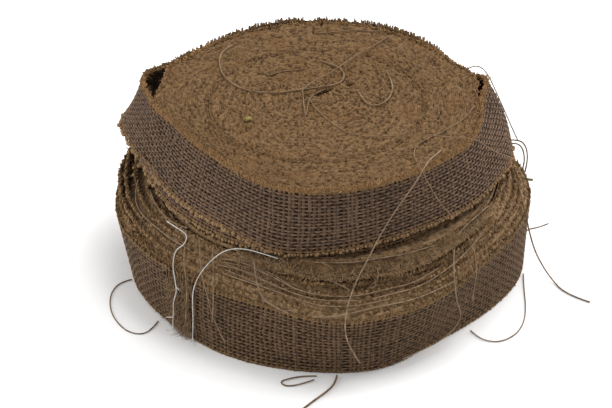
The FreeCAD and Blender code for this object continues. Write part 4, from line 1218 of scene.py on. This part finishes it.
def make_upper_band():
    band = Cloth("upper_band", UPPER, "upper_turn", UPPER_YARN, 61,
                 lift=band_lift)
    band.weave("upper_outer_turn", (0.6, 0.5), make_fold())
    edge_tufts("upper_band_rim", UPPER, True, "upper_turn", 62, count=1700,
               length=1.5, radius=0.55, inward=0.35, start=-128.0, stop=116.0,
               material=RIM_YARN)
    edge_tufts("upper_band_rim_fluff", UPPER, True, "upper_turn", 60,
               count=2600, length=1.9, radius=0.17, inward=0.2, lean=0.8, depth=1.6,
               start=-128.0, stop=118.0, material=RIM_YARN)
    edge_tufts("upper_band_teeth", UPPER, True, "upper_turn", 64, count=360,
               start=112.0, stop=252.0, length=2.0, radius=0.50, lean=0.07, inward=0.0,
               drop=0.6, material=FUZZ, gaps=0.36, taper=0.1, curl=0.05)
    edge_beads("upper_band_hem_left", UPPER, False, "upper_turn", 63, count=84,
               start=-112.0, stop=-14.0, radius=1.0, material=HEM_YARN)
    edge_beads("upper_band_hem", UPPER, False, "upper_turn", 67, count=240,
               start=-14.0, stop=248.0, radius=0.78, material=HEM_YARN)
    edge_tufts("upper_band_hem_fluff", UPPER, False, "upper_turn", 65,
               count=1100, length=1.6, radius=0.2, lean=0.7, inward=-0.2, material=HEM_YARN)


CORE_SLIT = slit((LOWER_AXIS[0] - 1.8, LOWER_AXIS[1] + 13.6), 5.6, 2.1, math.radians(26))
# holes in the core's top face: x and y off the lower axis, radius, depth
CORE_PITS = ((11.5, 20.4, 1.4, 5.0), (-28.5, 30.0, 1.6, 2.6), (-34.9, 31.9, 1.1, 2.4),
             (-23.8, 33.2, 1.4, 2.6), (-19.5, 34.0, 1.1, 2.2), (-15.4, 34.4, 1.2, 2.4),
             (-5.0, 11.0, 2.2, 2.2))


def make_upper_faces():
    """Wound faces of the core turns and of the turns round them, above and below."""
    pits = [(LOWER_AXIS[0] + x, LOWER_AXIS[1] + y, *size) for x, y, *size in CORE_PITS]
    core_edge = circle(UPPER_CORE_RADIUS + 0.1, UPPER_AXIS)
    ring_edge = circle(UPPER_CORE_RADIUS + 0.2, UPPER_AXIS)
    top, foot = UPPER_TOP - 0.1, UPPER_FOOT + 0.3
    wound_face("upper_core_top", CORE_SLIT, core_edge, 50, top, "upper_core", UPPER_FACE, 71,
               step=0.9, pits=pits)
    wound_face("upper_core_foot", circle(3.0, UPPER_AXIS), core_edge, 50, foot, "upper_core",
               UPPER_FACE, 77, up=-1.0, step=2.2, samples=2)
    wound_face("upper_windings_top", ring_edge, rim(PACK, -0.2), 28, top, "upper_pack",
               UPPER_FACE, 72)
    wound_face("upper_windings_foot", ring_edge, rim(PACK, 0.4), 28, foot, "upper_pack",
               UPPER_FACE, 78, up=-1.0, step=2.2, samples=2)


def make_upper_sides():
    """Woven sides of the core turns and of the turns round them."""
    core = round_turn(UPPER_CORE_RADIUS, UPPER_FOOT, UPPER_TOP, UPPER_AXIS)
    bore = round_turn(UPPER_CORE_RADIUS + 0.4, UPPER_FOOT, UPPER_TOP, UPPER_AXIS)
    make_pack_side("upper_core_side", core, "upper_core", UPPER_YARN, 91, -0.8)
    make_pack_side("upper_windings_bore", bore, "upper_pack", UPPER_YARN, 92, 0.8)
    make_pack_side("upper_windings_side", PACK, "upper_pack", UPPER_YARN, 93, -0.8)


def on_core(draw, count):
    """Places of hairs on the core's top face."""
    radius = (UPPER_CORE_RADIUS - 1.0) * np.sqrt(draw.random(count))
    return around(360 * draw.random(count), radius, UPPER_TOP + 0.1, UPPER_AXIS)


def on_ring(draw, count):
    """Places of hairs on the turns round the core, clear of the core, which slides."""
    azimuth = 360 * draw.random(count)
    outer = PACK.edge(azimuth)[2] - 0.5
    inner = UPPER_CORE_RADIUS + 4.2
    radius = np.sqrt(inner ** 2 + draw.random(count) * (outer ** 2 - inner ** 2))
    return around(azimuth, radius, UPPER_TOP + 0.1, UPPER_AXIS)


def make_upper_fluff():
    """Hairs on the top faces, and the frayed edge of the turns round the core."""
    face_hairs("upper_core_hairs", on_core, 1500, "upper_core", 73)
    face_hairs("upper_ring_hairs", on_ring, 1900, "upper_pack", 74)
    edge_tufts("upper_windings_edge", PACK, True, "upper_pack", 75, count=1500, length=1.3,
               radius=0.45, material=RIM_YARN)
    edge_beads("upper_windings_beads", PACK, True, "upper_pack", 79, count=26, start=-146.0,
               stop=-108.0, radius=0.9, material=RIM_YARN)


def make_core_well():
    """Inside of the slit at the middle of the core."""
    # the slit's inside takes the near-black painted shade
    wound_well("upper_core_well", CORE_SLIT, UPPER_TOP - 1.2, 9.0, "upper_core", PAINTED_SHADE, 76)


def make_leaf():
    """Crumpled scrap of leaf."""
    low, high = [np.array(corner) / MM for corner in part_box("leaf_scrap")]
    middle, half = (low + high) / 2, (high - low) / 2
    columns, rows = 32, 17
    turn, tilt = closed_grid(columns, rows, -np.pi / 2, np.pi / 2)
    shape = np.stack([np.cos(turn) * np.cos(tilt), np.sin(turn) * np.cos(tilt),
                      np.sin(tilt)], -1)
    crumple = 0.82 + 0.36 * noise(shape[..., 0] * 2.3 + 9, shape[..., 1] * 2.3
                                  + shape[..., 2] * 1.9 + 9, 81)
    points = middle + shape * half * crumple[..., None]
    leaf = make_piece("leaf", points, grid_quads(columns, rows, True), LEAF,
                      "upper_core", slot="dry_leaf")
    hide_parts("leaf_scrap")


# ---------------------------------------------------------------- making everything

settle_upper_turn()
add_camera()
add_threads()
add_snippets()
add_studio()
make_lower_wall()
make_tail()
make_loose_turns()
make_stack()
make_ledge()
make_ledge_edge()
face_hairs("lower_ledge_hairs", on_ledge, 1100, "lower_roll", 58, radius=0.13, lift=0.5)
make_lower_pack()
make_upper_band()
make_upper_faces()
make_upper_sides()
make_upper_fluff()
make_core_well()
make_leaf()
for hidden, piece in (("lower_windings", "lower_windings_top"),
                      ("upper_core_windings", "upper_core_top"),
                      ("upper_outer_windings", "upper_windings_top")):
    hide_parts(hidden)
